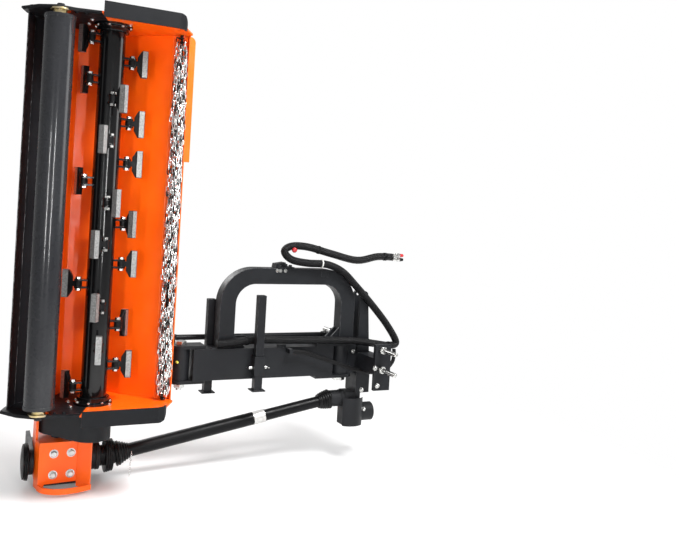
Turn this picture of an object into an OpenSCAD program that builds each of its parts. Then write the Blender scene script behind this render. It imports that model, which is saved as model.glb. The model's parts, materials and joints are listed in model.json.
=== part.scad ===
// Side-shift flail mower, cutter head folded up, millimetres.
// Origin: midway between the lower link pins. +Y is the way of travel, +X the mowing side, +Z up.

/* [Hitch] */
// Lower link pin diameter
link_pin_d = 22; // [18:0.5:28]
// Height of the upper pin row above the lower one
pin_row = 98; // [80:1:110]
// Half spacing of the hitch side plates
hitch_half = 260; // [245:1:300]
// Hitch side plate thickness
hitch_t = 20; // [12:1:26]
// Hitch side plate height
hitch_h = 230; // [205:1:280]
// Reach of the link pins beyond the side plates
link_pin_reach = 150; // [90:1:180]
// Cross tube outer size
cross_s = 80; // [70:1:88]
// Wall of the cross tube
cross_wall = 8; // [5:0.5:14]
// Mast plate thickness
mast_t = 16; // [10:1:22]
// Clear gap between the mast plates
mast_gap = 56; // [44:1:80]
// Top link hole diameter
top_hole_d = 19.5; // [16:0.5:26]
// Height of the top link hole
top_hole_z = 345; // [300:1:400]

/* [Swing arm] */
// Beam width
beam_w = 120; // [104:1:124]
// Beam height
beam_h = 150; // [130:1:160]
// Beam wall
beam_wall = 8; // [5:0.5:12]
// Height of the beam centre
beam_z = 10; // [5:1:15]
// Arm length between its two upright pins
arm_len = 850; // [850:1:900]
// Fork plate thickness
fork_t = 16; // [12:1:20]
// Swing pin diameter
swing_pin_d = 50; // [40:1:56]
// Carriage pin diameter
carriage_pin_d = 40; // [32:1:46]
// Arch tube size
arch_s = 80; // [60:1:84]
// Arch tube wall
arch_wall = 6; // [4:0.5:9]
// Arch height above the beam
arch_h = 393; // [360:1:420]
// Arch bend radius at the tube centre
arch_bend = 140; // [120:1:160]
// Parking leg tube size
leg_s = 40; // [34:1:44]
// Parking leg length
leg_len = 460; // [400:1:500]
// Wall of the leg socket
socket_wall = 6; // [4:0.5:8]

/* [Cutter head] */
// Inner width between the end plates
cut_w = 1656; // [1640:1:1680]
// Height of the inner end plate
head_low = -120; // [-122:1:-116]
// End plate thickness
end_t = 8; // [6:0.5:12]
// Hood sheet thickness
hood_t = 5; // [3:0.5:6]
// Ground plane of the folded head
ground_x = 350; // [345:1:360]
// Skid width
skid_w = 66; // [56:1:80]
// Part of a skid inside its end plate
skid_in = 25; // [18:1:32]
// Skid sheet thickness
skid_t = 8; // [5:0.5:10]
// Radius of the outer nose corner of a skid
skid_nose_r = 36; // [10:1:44]
// Roller diameter
roller_d = 120; // [100:1:124]
// Length of a roller hub
hub_l = 24; // [18:1:30]
// Rotor tube diameter
rotor_d = 110; // [100:1:114]
// Rotor shaft diameter
rotor_shaft_d = 40; // [32:1:44]
// Radius of the hammer pin circle
pin_circle = 88; // [85:1:92]
// Hammer pin diameter
hammer_pin_d = 16; // [12:0.5:18]
// Hammer reach from its pin
hammer_reach = 67; // [60:1:72]
// Cutting edge length
edge_len = 120; // [90:1:130]
// Radial depth of the cutting edge
edge_depth = 26; // [18:1:28]
// Cutting edge thickness
edge_t = 26; // [18:1:28]
// Lug plate thickness
lug_t = 8; // [6:0.5:10]
// Length of the front lip
lip_l = 573; // [500:1:640]
// Chain rod diameter
rod_d = 14; // [10:0.5:16]

/* [Drive] */
// Height of the head tilt axis
tilt_z = -405; // [-407:1:-402]
// Gearbox neck diameter
neck_d = 90; // [80:1:94]
// Drive pulley diameter
drive_pulley_d = 156; // [140:1:160]
// Driven pulley diameter
driven_pulley_d = 140; // [120:1:150]
// Pulley width
pulley_w = 85; // [70:1:90]
// Shaft diameter of the power take-off stub
stub_d = 35; // [30:0.5:38]
// Outer guard tube diameter
guard_d = 63; // [61:0.5:68]
// Inner guard tube diameter
guard_in_d = 56; // [54:0.5:57.5]
// Ball diameter of the wide angle joints
ball_d = 64; // [56:1:66]
// Hose bundle diameter
bundle_d = 40; // [28:1:46]
// Single hose diameter
hose_d = 20; // [14:1:24]

/* [Fits] */
// Radial clearance of pins and shafts in bores
fit = 0.05; // [0.02:0.01:0.09]
// Gap between faces of moving parts
gap = 0.5; // [0.35:0.05:1]

/* [Hidden] */
$fn = 48;
beam_top = beam_z + beam_h / 2;
beam_bot = beam_z - beam_h / 2;
swing_y = -100;
carriage_y = swing_y - arm_len;
head_y = carriage_y;
hitch_y = -35;
hitch_l = 90;
hitch_bot = -106;
z0 = head_low;
z1 = head_low + cut_w;
roller_x = ground_x - 60;
roller_y = head_y - 647;
rotor_x = ground_x - 215;
rotor_y = head_y - 412;
tilt_x = -20;
out_y = head_y - 525;
rod_x = ground_x - 200;
rod_y = head_y - 112;
hood_path = [[80, -615], [0, -590], [-70, -530], [-70, -326], [10, -259], [110, -140], [118, -84],
    [124, -74], [160, -74]];
shield_path = [[8, -605], [20, -650], [80, -730], [175, -762]];
hood_pts = [for (p = hood_path) [p[0] + ground_x - 350, p[1] + head_y]];
shield_pts = [for (p = shield_path) [p[0] + ground_x - 350, p[1] + head_y]];
joint_a = [0, -140, -202];
joint_b = [tilt_x, head_y - 285, tilt_z];
shaft_v = joint_b - joint_a;
shaft_l = norm(shaft_v);
input_z = -280;
boot_l = 72;
boot_extra = 8;
sleeve_s = 366;
rows = [[0, [3, 5, 8, 10, 13, 15], [45, -45, 35, -58, -38, -11]],
    [90, [1, 4, 6, 9, 11, 14, 16], [0, 0, -4, -55, 3, 50, -3]],
    [180, [2, 7, 10, 13], [4, -6, 5, 0]],
    [270, [0, 2, 7, 12, 17], [-53, -75, -72, -20, -60]]];
hammer_z0 = z1 - 66;
hammer_pitch = (cut_w - 143) / 17;
tab_hi = z1 - 558;
tab_lo = z1 - 1118;
hub_gap = 24;
bracket_top = tilt_z + 105;
bracket_bot = tilt_z - 100;
bracket_rear = head_y - 628;
bracket_front = head_y - 395;
bracket_x0 = tilt_x - 95;
bracket_x1 = tilt_x + 100;
wing_y = bracket_front - 58;
panel_y = bracket_rear + 13;
wing_out = 44;
bow_path = [[bracket_x1 + wing_out, bracket_front - 7], [bracket_x1 + 64, bracket_front - 60],
    [bracket_x1 + 72, bracket_front - 120], [bracket_x1 + 60, panel_y + 54],
        [bracket_x1 + 32, panel_y + 18],
    [bracket_x1 - 7, panel_y + 3]];
pulley_low = bracket_top + 45;
near_leg_y = carriage_y + arm_len * 73 / 170;
far_leg_y = carriage_y + 166;
leg_x = beam_w / 2 + socket_wall + leg_s / 2 + gap;
tie_x = -190;
tie_z = beam_top + 2;
cyl_z = -20;
cyl_base = [-125, -45];
cyl_lug = [-110, -400];
tilt_base = [-240, -60];
tilt_y = head_y - 336;
lever_r = 130;
lever_a = 210;
tilt_eye = [tilt_x + lever_r * cos(lever_a), tilt_z + lever_r * sin(lever_a)];
bundle_path = [[64, 150, 552], [64, 60, 552], [64, -60, 530], [64, -210, 560], [64, -340, 590],
    [66, -430, 592],
    [68, -470, 566], [68, -430, 526], [68, -340, 510], [66, -230, 505], [64, -140, 470], [64, -60, 400],
    [64, 50, 292], [70, 140, 190], [76, 196, 100], [82, 150, 84], [86, 60, 96], [86, -60, 114],
        [86, -200, 120],
    [84, -320, 122], [66, -440, 122], [44, -545, 122], [44, -600, 121], [56, -650, 120], [63, -700, 118],
    [66, -790, 112]];
loop_path = [[96, -409.7, 70], [96, -340, 62], [98, -260, 36], [100, -160, 2], [101, -60, -32],
    [99, 40, -52],
    [96, 120, -44], [92, 168, -6], [88, 180, 34], [80, 183, 63.6]];
charcoal = [0.17, 0.18, 0.19];
orange = [0.95, 0.36, 0.05];
steel = [0.7, 0.7, 0.72];
black = [0.06, 0.06, 0.06];

function unit(v) = v / norm(v);
function side(a, b) = [-unit(b - a)[1], unit(b - a)[0]];
function corner(p, i) = i == 0 ? side(p[0], p[1]) : i == len(p) - 1 ? side(p[i - 1], p[i]) :
    (side(p[i - 1], p[i]) + side(p[i], p[i + 1])) / (1 + side(p[i - 1], p[i]) * side(p[i], p[i + 1]));
function strip(p, t) = concat(p, [for (i = [len(p) - 1:-1:0]) p[i] + t * corner(p, i)]);
function tangent(p, i) = unit(p[min(i + 1, len(p) - 1)] - p[max(i - 1, 0)]);
function spline(a, b, c, d, t) = 0.5 * (2 * b + (c - a) * t + (2 * a - 5 * b + 4 * c - d) * t * t
    + (3 * b - a - 3 * c + d) * t * t * t);
function smooth(p, n) = [for (i = [0:len(p) - 2]) for (k = [0:n - 1])
    spline(p[max(i - 1, 0)], p[i], p[i + 1], p[min(i + 2, len(p) - 1)], k / n), p[len(p) - 1]];
function ring(p, i, r, n) = let (t = tangent(p, i), u = unit(cross(t, [1, 0.02, 0.01])), w = cross(t, u))
    [for (k = [0:n - 1]) p[i] + r * (cos(360 * k / n) * u + sin(360 * k / n) * w)];

module swept(p, d, n) {
    m = len(p);
    points = [for (i = [0:m - 1]) each ring(p, i, d / 2, n)];
    walls = [for (i = [0:m - 2]) for (k = [0:n - 1])
        [i * n + k, i * n + (k + 1) % n, (i + 1) * n + (k + 1) % n, (i + 1) * n + k]];
    start = [for (k = [n - 1:-1:0]) k];
    finish = [for (k = [0:n - 1]) (m - 1) * n + k];
    polyhedron(points = points, faces = concat([start], walls, [finish]));
}

module along_y(y0, y1, r, x, z) {
    translate([x, y1, z]) rotate([90, 0, 0]) cylinder(r = r, h = y1 - y0);
}

module along_x(x0, x1, r, y, z) {
    translate([x0, y, z]) rotate([0, 90, 0]) cylinder(r = r, h = x1 - x0);
}

module block(a, b) {
    translate(a) cube(b - a);
}

module plate_y(y0, y1) {
    translate([0, y1, 0]) rotate([90, 0, 0]) linear_extrude(y1 - y0) children();
}

module on_shaft(s) {
    translate(joint_a) rotate([0, acos(shaft_v[2] / shaft_l), atan2(shaft_v[1], shaft_v[0])])
        translate([0, 0, s])
        children();
}

module hex(r, h) {
    cylinder(r = r, h = h, $fn = 6);
}

// Hitch side plates, cross tube, pivot boss and gearbox hanger
module hitch_frame() {
    color(charcoal) difference() {
        union() {
            for (s = [-1, 1]) {
                block([s * hitch_half - hitch_t / 2, hitch_y, hitch_bot],
                    [s * hitch_half + hitch_t / 2, hitch_y + hitch_l, hitch_bot + hitch_h]);
            }
            block([-hitch_half, 55 - cross_s, beam_z - cross_s / 2],
                [hitch_half, 55, beam_z + cross_s / 2]);
            translate([0, swing_y, beam_bot + gap]) cylinder(r = 50, h = beam_h - 2 * gap);
            block([-40, swing_y, beam_bot + gap], [40, 56 - cross_s, beam_top - gap]);
            block([-60, -25, -165], [60, 54, beam_z]);
            block([tie_x - 35, -24, beam_z], [tie_x + 35, 20, tie_z - gap]);
            block([tie_x - 35, swing_y, tie_z - 16], [tie_x + 35, -20, tie_z - gap]);
            translate([tie_x, swing_y, tie_z - 16]) cylinder(r = 35, h = 16 - gap);
            for (z = [cyl_z - 26, cyl_z + 15 + gap]) {
                block([cyl_base[0] - 28, cyl_base[1], z], [cyl_base[0] + 28, 56 - cross_s, z + 10.5]);
                translate([cyl_base[0], cyl_base[1], z]) cylinder(r = 28, h = 10.5);
            }
        }
        for (s = [-1, 1], z = [0, pin_row]) {
            along_x(s * hitch_half - hitch_t, s * hitch_half + hitch_t, link_pin_d / 2 + fit, 0, z);
        }
        translate([0, swing_y, beam_bot - 1]) cylinder(r = swing_pin_d / 2 + fit, h = beam_h + 2);
        block([-hitch_half + hitch_t / 2, 55 - cross_s + cross_wall, beam_z - cross_s / 2 + cross_wall],
            [-70, 55 - cross_wall, beam_z + cross_s / 2 - cross_wall]);
        block([70, 55 - cross_s + cross_wall, beam_z - cross_s / 2 + cross_wall],
            [hitch_half - hitch_t / 2, 55 - cross_wall, beam_z + cross_s / 2 - cross_wall]);
        translate([tie_x, swing_y, tie_z - 40]) cylinder(r = 10 + fit, h = 60);
        translate([cyl_base[0], cyl_base[1], cyl_z - 40]) cylinder(r = 10 + fit, h = 80);
    }
}

// Two mast plates with the top link hole
module hitch_mast() {
    color(charcoal) for (s = [-1, 1]) {
        translate([s * (mast_gap + mast_t) / 2 - mast_t / 2, 0, 0]) rotate([90, 0, 90])
            linear_extrude(mast_t)
            difference() {
                union() {
                    polygon([[-16, beam_z + cross_s / 2], [52, beam_z + cross_s / 2], [30, top_hole_z],
                        [-16, top_hole_z]]);
                    translate([7, top_hole_z]) circle(r = 23);
                }
                translate([7, top_hole_z]) circle(d = top_hole_d);
            }
    }
}

// Lower link pins with collars and nuts, two rows on each side
module link_pins() {
    color(steel) for (s = [-1, 1], z = [0, pin_row]) {
        translate([s * hitch_half, 0, z]) rotate([0, s * 90, 0]) {
            translate([0, 0, -hitch_t / 2]) cylinder(d = link_pin_d, h = hitch_t + link_pin_reach - 6);
            translate([0, 0, hitch_t / 2 + link_pin_reach - 6])
                cylinder(d1 = link_pin_d, d2 = link_pin_d - 8, h = 6);
            translate([0, 0, hitch_t / 2]) cylinder(d = link_pin_d + 14, h = 22);
            translate([0, 0, -hitch_t / 2 - 12]) hex(link_pin_d / 2 + 5, 12);
        }
    }
}

// Gearbox housing under the hitch, input at the front and output at the rear
module drive_gearbox() {
    color(charcoal) difference() {
        union() {
            hull() for (x = [-36, 36], y = [-63, 3]) translate([x, y, -340]) cylinder(r = 12, h = 175);
            along_y(10, 60, 48, 0, input_z);
            along_y(60, 100, 48, 0, input_z);
            along_y(-92, -70, 44, 0, joint_a[2]);
        }
        along_y(62, 101, 43, 0, input_z);
        along_y(-20, 63, stub_d / 2 + 3 + fit, 0, input_z);
        along_y(-100, -20, 17.5 + fit, 0, joint_a[2]);
    }
}

// Bent sheet guard beside the gearbox
module gearbox_guard() {
    color(charcoal) {
        translate([10, -35, -335]) rotate([0, 0, -50]) rotate_extrude(angle = 100) translate([71, 0])
            square([4, 145]);
        block([48, -50, -194], [83, -20, -190]);
    }
}

// Power take-off stub
module input_shaft() {
    color(steel) {
        along_y(-18, 62, stub_d / 2 + 3, 0, input_z);
        along_y(61, 94, stub_d / 2, 0, input_z);
        along_y(94, 97, stub_d / 2 - 2, 0, input_z);
    }
}

// Socket of a wide angle joint with its shaft, turned about Z
module bell(inner, outer, back, end, shaft_r) {
    a0 = asin(8 / inner);
    rotate_extrude() polygon(concat([[0, end], [shaft_r, end], [shaft_r, back], [outer, back], [outer, 8]],
        [for (k = [0:12]) let (a = a0 - k * (90 + a0) / 12) [max(0, inner * cos(a)), inner * sin(a)]]));
}

// Output half of the first wide angle joint
module output_joint() {
    color(steel) translate(joint_a) rotate([90, 0, 0]) bell(ball_d / 2 + gap, 42, -47.5, -118, 17.5);
}

// Box beam with a fork at each end, leg sockets and cylinder lug
module arm_beam() {
    color(charcoal) difference() {
        union() {
            block([-beam_w / 2, carriage_y + 50, beam_bot], [beam_w / 2, swing_y - 65, beam_top]);
            for (z = [beam_bot - fork_t, beam_top]) {
                block([-beam_w / 2, swing_y - 160, z], [beam_w / 2, swing_y, z + fork_t]);
                translate([0, swing_y, z]) cylinder(r = 62, h = fork_t);
                block([-50, carriage_y, z], [50, carriage_y + 110, z + fork_t]);
                translate([0, carriage_y, z]) cylinder(r = 50, h = fork_t);
            }
            for (p = [[1, near_leg_y], [-1, far_leg_y]]) {
                translate([p[0] * leg_x, p[1], 5]) cube([leg_s + 2 * socket_wall + 2 * gap,
                    leg_s + 2 * socket_wall + 2 * gap, 90], center = true);
            }
            for (z = [cyl_z - 26, cyl_z + 15 + gap]) {
                block([cyl_lug[0], cyl_lug[1] - 26, z], [-beam_w / 2 + 1, cyl_lug[1] + 26, z + 10.5]);
                translate([cyl_lug[0], cyl_lug[1], z]) cylinder(r = 26, h = 10.5);
            }
        }
        block([-beam_w / 2 + beam_wall, carriage_y + 60, beam_bot + beam_wall],
            [beam_w / 2 - beam_wall, swing_y - 75, beam_top - beam_wall]);
        translate([0, swing_y, beam_bot - 50]) cylinder(r = swing_pin_d / 2 + fit, h = beam_h + 100);
        translate([0, carriage_y, beam_bot - 50]) cylinder(r = carriage_pin_d / 2 + fit, h = beam_h + 100);
        for (p = [[1, near_leg_y], [-1, far_leg_y]]) {
            translate([p[0] * leg_x, p[1], 5]) cube([leg_s + 2 * gap, leg_s + 2 * gap, 200], center = true);
            along_y(p[1] - 60, p[1] + 60, 7 + fit, p[0] * leg_x, -5);
        }
        translate([cyl_lug[0], cyl_lug[1], cyl_z - 50]) cylinder(r = 10 + fit, h = 100);
    }
}

// Bent square tube standing on the beam
module arch_tube(s, over) {
    top = beam_top + arch_h - arch_s / 2;
    yl = -738;
    yr = -86;
    translate([-s / 2, yl - s / 2, beam_top - over]) cube([s, s, top - arch_bend - beam_top + over]);
    translate([-s / 2, yr - s / 2, beam_top + fork_t - over])
        cube([s, s, top - arch_bend - beam_top - fork_t + over]);
    translate([-s / 2, yl + arch_bend, top - s / 2]) cube([s, yr - yl - 2 * arch_bend, s]);
    translate([0, yl + arch_bend, top - arch_bend]) rotate([90, 0, -90]) rotate_extrude(angle = 90)
        translate([arch_bend - s / 2, -s / 2]) square(s);
    translate([0, yr - arch_bend, top - arch_bend]) rotate([90, 0, 90]) rotate_extrude(angle = 90)
        translate([arch_bend - s / 2, -s / 2]) square(s);
}

module arm_arch() {
    color(charcoal) difference() {
        arch_tube(arch_s, 0);
        arch_tube(arch_s - 2 * arch_wall, 1);
    }
}

// Gusset plates at the feet of the arch and the clamp plate on top
module arch_gussets() {
    yr = -86 - arch_s / 2;
    yl = -738 + arch_s / 2;
    color(charcoal) {
        for (x = [-32, 22]) {
            translate([x, 0, 0]) rotate([90, 0, 90]) linear_extrude(10)
                polygon([[yr, beam_top + fork_t], [yr - 70, beam_top + fork_t],
                    [yr, beam_top + fork_t + 75]]);
            translate([x, 0, 0]) rotate([90, 0, 90]) linear_extrude(10)
                polygon([[yl, beam_top], [yl + 60, beam_top], [yl, beam_top + 60]]);
        }
        block([-45, -492, beam_top + arch_h], [45, -402, beam_top + arch_h + 8]);
        for (x = [-30, 30], y = [-475, -420]) translate([x, y, beam_top + arch_h + 8]) hex(9, 10);
    }
}

// Upright pin of the swing arm
module swing_pin() {
    color(steel) translate([0, swing_y, beam_bot - fork_t]) {
        cylinder(d = swing_pin_d, h = beam_h + 2 * fork_t);
        translate([0, 0, -24]) cylinder(d = swing_pin_d - 12, h = 24);
        translate([0, 0, -22]) hex(swing_pin_d / 2 + 8, 22);
    }
}

// Upright pin of the carriage
module carriage_pin() {
    color(steel) translate([0, carriage_y, beam_bot - fork_t]) {
        cylinder(d = carriage_pin_d, h = beam_h + 2 * fork_t);
        translate([0, 0, beam_h + 2 * fork_t]) hex(carriage_pin_d / 2 + 8, 18);
        translate([0, 0, -34]) cylinder(d = carriage_pin_d - 14, h = 34);
        translate([0, 0, -22]) hex(carriage_pin_d / 2 + 8, 22);
    }
}

// Clamp pins of the parking legs, two on each socket
module leg_clamps() {
    half = leg_s / 2 + gap;
    color(steel) for (p = [[1, near_leg_y], [-1, far_leg_y]], s = [-1, 1]) {
        translate([p[0] * leg_x, p[1], -5]) rotate([-90 * s, 0, 0]) {
            translate([0, 0, half + 0.2]) cylinder(r = 7, h = socket_wall + 20);
            translate([0, 0, half + socket_wall + 4]) cylinder(r = 11, h = 6);
            translate([0, 0, half + socket_wall + 24]) rotate([0, 90, 0])
                cylinder(r = 3, h = 40, center = true);
        }
    }
}

module parking_leg(s, y, bottom) {
    color(charcoal) {
        difference() {
            translate([s * leg_x - leg_s / 2, y - leg_s / 2, bottom]) cube([leg_s, leg_s, leg_len]);
            translate([s * leg_x - leg_s / 2 + 4, y - leg_s / 2 + 4, bottom + 4])
                cube([leg_s - 8, leg_s - 8, leg_len]);
        }
        translate([s * leg_x - 34, y - 34, bottom - 6]) cube([68, 68, 6]);
    }
}

module near_leg() {
    parking_leg(1, near_leg_y, -112);
}

module far_leg() {
    parking_leg(-1, far_leg_y, -150);
}

// Pins of the swing cylinder and the tie rod on the hitch and the arm
module cylinder_pins() {
    color(steel) {
        translate([cyl_base[0], cyl_base[1], cyl_z - 32]) cylinder(r = 10, h = 64);
        translate([cyl_base[0], cyl_base[1], cyl_z + 32]) hex(15, 8);
        translate([tie_x, swing_y, tie_z - 30]) cylinder(r = 10, h = 66);
        translate([tie_x, swing_y, tie_z + 36]) hex(15, 8);
    }
}

// Barrel of the swing cylinder
module swing_barrel() {
    v = cyl_lug - cyl_base;
    color(charcoal) translate([cyl_base[0], cyl_base[1], cyl_z]) difference() {
        union() {
            cylinder(r = 20, h = 30, center = true);
            rotate([0, 90, atan2(v[1], v[0])]) {
                translate([0, 0, 10]) cylinder(r = 12, h = 40);
                translate([0, 0, 45]) cylinder(r = 24, h = 180);
                translate([0, 0, 215]) cylinder(r = 27, h = 22);
            }
        }
        cylinder(r = 10 + fit, h = 40, center = true);
        rotate([0, 90, atan2(v[1], v[0])]) translate([0, 0, 60]) cylinder(r = 12 + fit, h = 200);
    }
}

// Rod of the swing cylinder, its eye held by the arm lug
module swing_rod() {
    v = cyl_lug - cyl_base;
    color(steel) translate([cyl_lug[0], cyl_lug[1], cyl_z]) difference() {
        union() {
            cylinder(r = 20, h = 30, center = true);
            rotate([0, 90, atan2(-v[1], -v[0])]) translate([0, 0, 10]) cylinder(r = 12, h = norm(v) - 160);
        }
        cylinder(r = 13, h = 40, center = true);
    }
}

// Parallel link that keeps the head square to the tractor
module tie_rod() {
    color(charcoal) difference() {
        union() {
            for (y = [swing_y, carriage_y]) translate([tie_x, y, tie_z]) cylinder(r = 26, h = 30);
            along_y(carriage_y + 10, swing_y - 10, 14, tie_x, tie_z + 15);
        }
        for (y = [swing_y, carriage_y]) translate([tie_x, y, tie_z - 1]) cylinder(r = 10 + fit, h = 32);
    }
}

// Carriage behind the head, with the two tilt lugs
module carriage_frame() {
    front = head_y - 390;
    rear = bracket_rear - 21;
    color(charcoal) difference() {
        union() {
            translate([0, carriage_y, beam_bot + gap]) cylinder(r = 45, h = beam_h - 2 * gap);
            block([-180, carriage_y - 58, beam_z - 60], [0, carriage_y - 5, beam_z + 60]);
            block([-180, front, beam_z - 60], [-100, carriage_y - 6, beam_z + 60]);
            block([tie_x - 26, carriage_y - 50, beam_z + 59], [-120, carriage_y, tie_z - gap]);
            translate([tie_x, carriage_y, tie_z - 16]) cylinder(r = 26, h = 16 - gap);
            translate([tie_x, carriage_y, tie_z - 10]) cylinder(r = 10, h = 46);
            plate_y(front, front + 20) {
                polygon([[-180, beam_z], [-100, beam_z], [-100, beam_z - 60], [-125, beam_z - 100],
                    [-125, tilt_z + 58], [tilt_x, tilt_z + 58], [tilt_x, tilt_z - 58],
                        [-190, tilt_z - 58]]);
                translate([tilt_x, tilt_z]) circle(r = 58);
            }
            plate_y(rear, rear + 18) {
                polygon([[-250, tilt_z - 62], [-250, tilt_z + 72], [tilt_x, tilt_z + 58],
                    [tilt_x, tilt_z - 58]]);
                translate([tilt_x, tilt_z]) circle(r = 58);
            }
            block([-250, rear + 1, tilt_z - 30], [-185, front + 20, tilt_z + 40]);
            block([-200, front, tilt_z - 30], [-170, front + 20, tilt_z + 40]);
            for (y = [tilt_y - 28, tilt_y + 10 + gap]) {
                block([tilt_base[0], y, tilt_base[1] - 26], [-179, y + 17.5, tilt_base[1] + 26]);
                along_y(y, y + 17.5, 26, tilt_base[0], tilt_base[1]);
            }
            along_y(tilt_y - 24, tilt_y + 24, 10, tilt_base[0], tilt_base[1]);
        }
        translate([0, carriage_y, beam_bot - 1]) cylinder(r = carriage_pin_d / 2 + fit, h = beam_h + 2);
        along_y(front - 1, front + 21, neck_d / 2 + fit, tilt_x, tilt_z);
        along_y(rear - 1, rear + 19, 30 + fit, tilt_x, tilt_z);
        block([-172, front + 30, beam_z - 52], [-108, carriage_y - 70, beam_z + 52]);
    }
}

// Barrel of the tilt cylinder
module tilt_barrel() {
    v = tilt_eye - tilt_base;
    a = atan2(v[0], v[1]);
    color(charcoal) translate([tilt_base[0], tilt_y, tilt_base[1]]) {
        difference() {
            along_y(-10, 10, 24, 0, 0);
            along_y(-11, 11, 10 + fit, 0, 0);
        }
        rotate([0, a, 0]) rotate_extrude() polygon([[0, 14], [9, 14], [9, 50], [24, 50], [24, 200],
            [26, 200],
            [26, 216], [11 + fit, 216], [11 + fit, 56], [0, 56]]);
    }
}

// Rod of the tilt cylinder, its eye beside the lever
module tilt_rod() {
    v = tilt_eye - tilt_base;
    a = atan2(-v[0], -v[1]);
    color(steel) translate([tilt_eye[0], tilt_y, tilt_eye[1]]) difference() {
        union() {
            along_y(-10, 10, 20, 0, 0);
            rotate([0, a, 0]) translate([0, 0, 10]) cylinder(r = 11, h = 210);
        }
        along_y(-11, 11, 10 + fit, 0, 0);
    }
}

// Folded hood sheet with the two tabs of the chain rod
module hood() {
    color(orange) {
        translate([0, 0, z0]) linear_extrude(cut_w) polygon(strip(hood_pts, -hood_t));
        for (z = [tab_hi, tab_lo]) {
            translate([0, 0, z]) linear_extrude(8) difference() {
                polygon([[rod_x - 27, rod_y - 27], [rod_x + 14, rod_y - 14], [rod_x + 14, rod_y + 14],
                    [rod_x - 27, rod_y + 22]]);
                translate([rod_x, rod_y]) circle(r = rod_d / 2 + fit);
            }
        }
    }
}

// Both end plates of the head
module end_plates() {
    g = ground_x - 350;
    h = head_y;
    color(orange) for (z = [z0 - end_t, z1]) {
        translate([0, 0, z]) linear_extrude(end_t) difference() {
            polygon([[-76 + g, h - 536], [-76 + g, h - 322], [6 + g, h - 254], [120 + g, h - 78],
                [178 + g, h - 70],
                [288 + g, h - 130], [338 + g, h - 177], [338 + g, h - 470], [318 + g, h - 590],
                    [326 + g, h - 660],
                [280 + g, h - 730], [196 + g, h - 790], [120 + g, h - 764], [10 + g, h - 660],
                    [-6 + g, h - 596]]);
            translate([rotor_x, rotor_y]) circle(r = rotor_shaft_d / 2 + 3);
            translate([roller_x, roller_y]) circle(r = 18);
            translate([rod_x, rod_y]) circle(r = rod_d / 2 + fit);
        }
    }
}

// Skids across the edges of the end plates
module skids() {
    y0 = head_y - 485;
    y1 = head_y - 130;
    color(charcoal) for (s = [0, 1]) {
        base = s == 0 ? z0 - end_t - skid_w + skid_in : z1 + end_t - skid_in;
        web = s == 0 ? z0 - end_t - skid_t : z1 + end_t;
        intersection() {
            translate([0, 0, base]) linear_extrude(skid_w) polygon([[ground_x - skid_t, y0], [ground_x, y0],
                [ground_x, y1 - 40], [ground_x - 12, y1 - 12], [ground_x - 34, y1], [ground_x - 40, y1 - 7],
                [ground_x - 19, y1 - 18], [ground_x - skid_t, y1 - 42]]);
            translate([ground_x - 60, 0, base]) rotate([90, 0, 90]) linear_extrude(80) hull() {
                translate([y0, 0]) square([y1 - y0 - skid_nose_r, skid_w]);
                translate([y1 - skid_nose_r, s == 0 ? skid_nose_r : skid_w - skid_nose_r])
                    circle(r = skid_nose_r);
                translate([y1 - 10, s == 0 ? skid_w - 10 : 0]) square(10);
            }
        }
        translate([0, 0, web]) linear_extrude(skid_t) polygon([[ground_x - skid_t, y0],
            [ground_x - skid_t, y1 - 42],
            [ground_x - 40, y1 - 20], [ground_x - 100, y1 - 40], [ground_x - 112, y0 + 30]]);
    }
}

// Flange on the front edge of the hood
module front_lip() {
    x = ground_x - 202;
    y = head_y - 74;
    color(orange) translate([x, 0, 0]) rotate([90, 0, 90]) linear_extrude(6) union() {
        translate([y, z1 - lip_l]) square([26, lip_l - 26]);
        translate([y, z1 - 27]) intersection() {
            circle(r = 26);
            square(26);
        }
    }
}

// Dark sheet over the roller
module rear_shield() {
    color(charcoal) translate([0, 0, z0]) linear_extrude(cut_w) polygon(strip(shield_pts, 4));
}

module chain_rod() {
    color(black) translate([rod_x, rod_y, z0 - end_t]) cylinder(d = rod_d, h = cut_w + 2 * end_t);
}

// Outer form of the hanging chains, in three runs between the tabs
module chain_curtain() {
    color(steel) for (r = [[z0 + 6, tab_lo - 6], [tab_lo + 14, tab_hi - 6], [tab_hi + 14, z1 - 14]]) {
        translate([0, 0, r[0]]) linear_extrude(r[1] - r[0]) difference() {
            polygon([[rod_x - 12, rod_y - 26], [rod_x + 34, rod_y - 26], [rod_x + 38, rod_y - 4],
                [rod_x + 34, rod_y + 18],
                [rod_x - 12, rod_y + 18]]);
            translate([rod_x, rod_y]) circle(r = rod_d / 2 + fit);
        }
    }
}

module belt_hull(grow, low, high) {
    translate([0, 0, low]) linear_extrude(high - low) hull() {
        translate([tilt_x, out_y]) circle(r = drive_pulley_d / 2 + grow);
        translate([rotor_x, rotor_y]) circle(r = driven_pulley_d / 2 + grow);
    }
}

// Cover of the belt drive at the inner end
module belt_cover() {
    color(charcoal) difference() {
        belt_hull(12, pulley_low - 18, z0 - end_t);
        belt_hull(8, pulley_low - 14, z0 - end_t + 1);
        translate([tilt_x, out_y, pulley_low - 30]) cylinder(r = 30, h = 30);
    }
}

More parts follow.
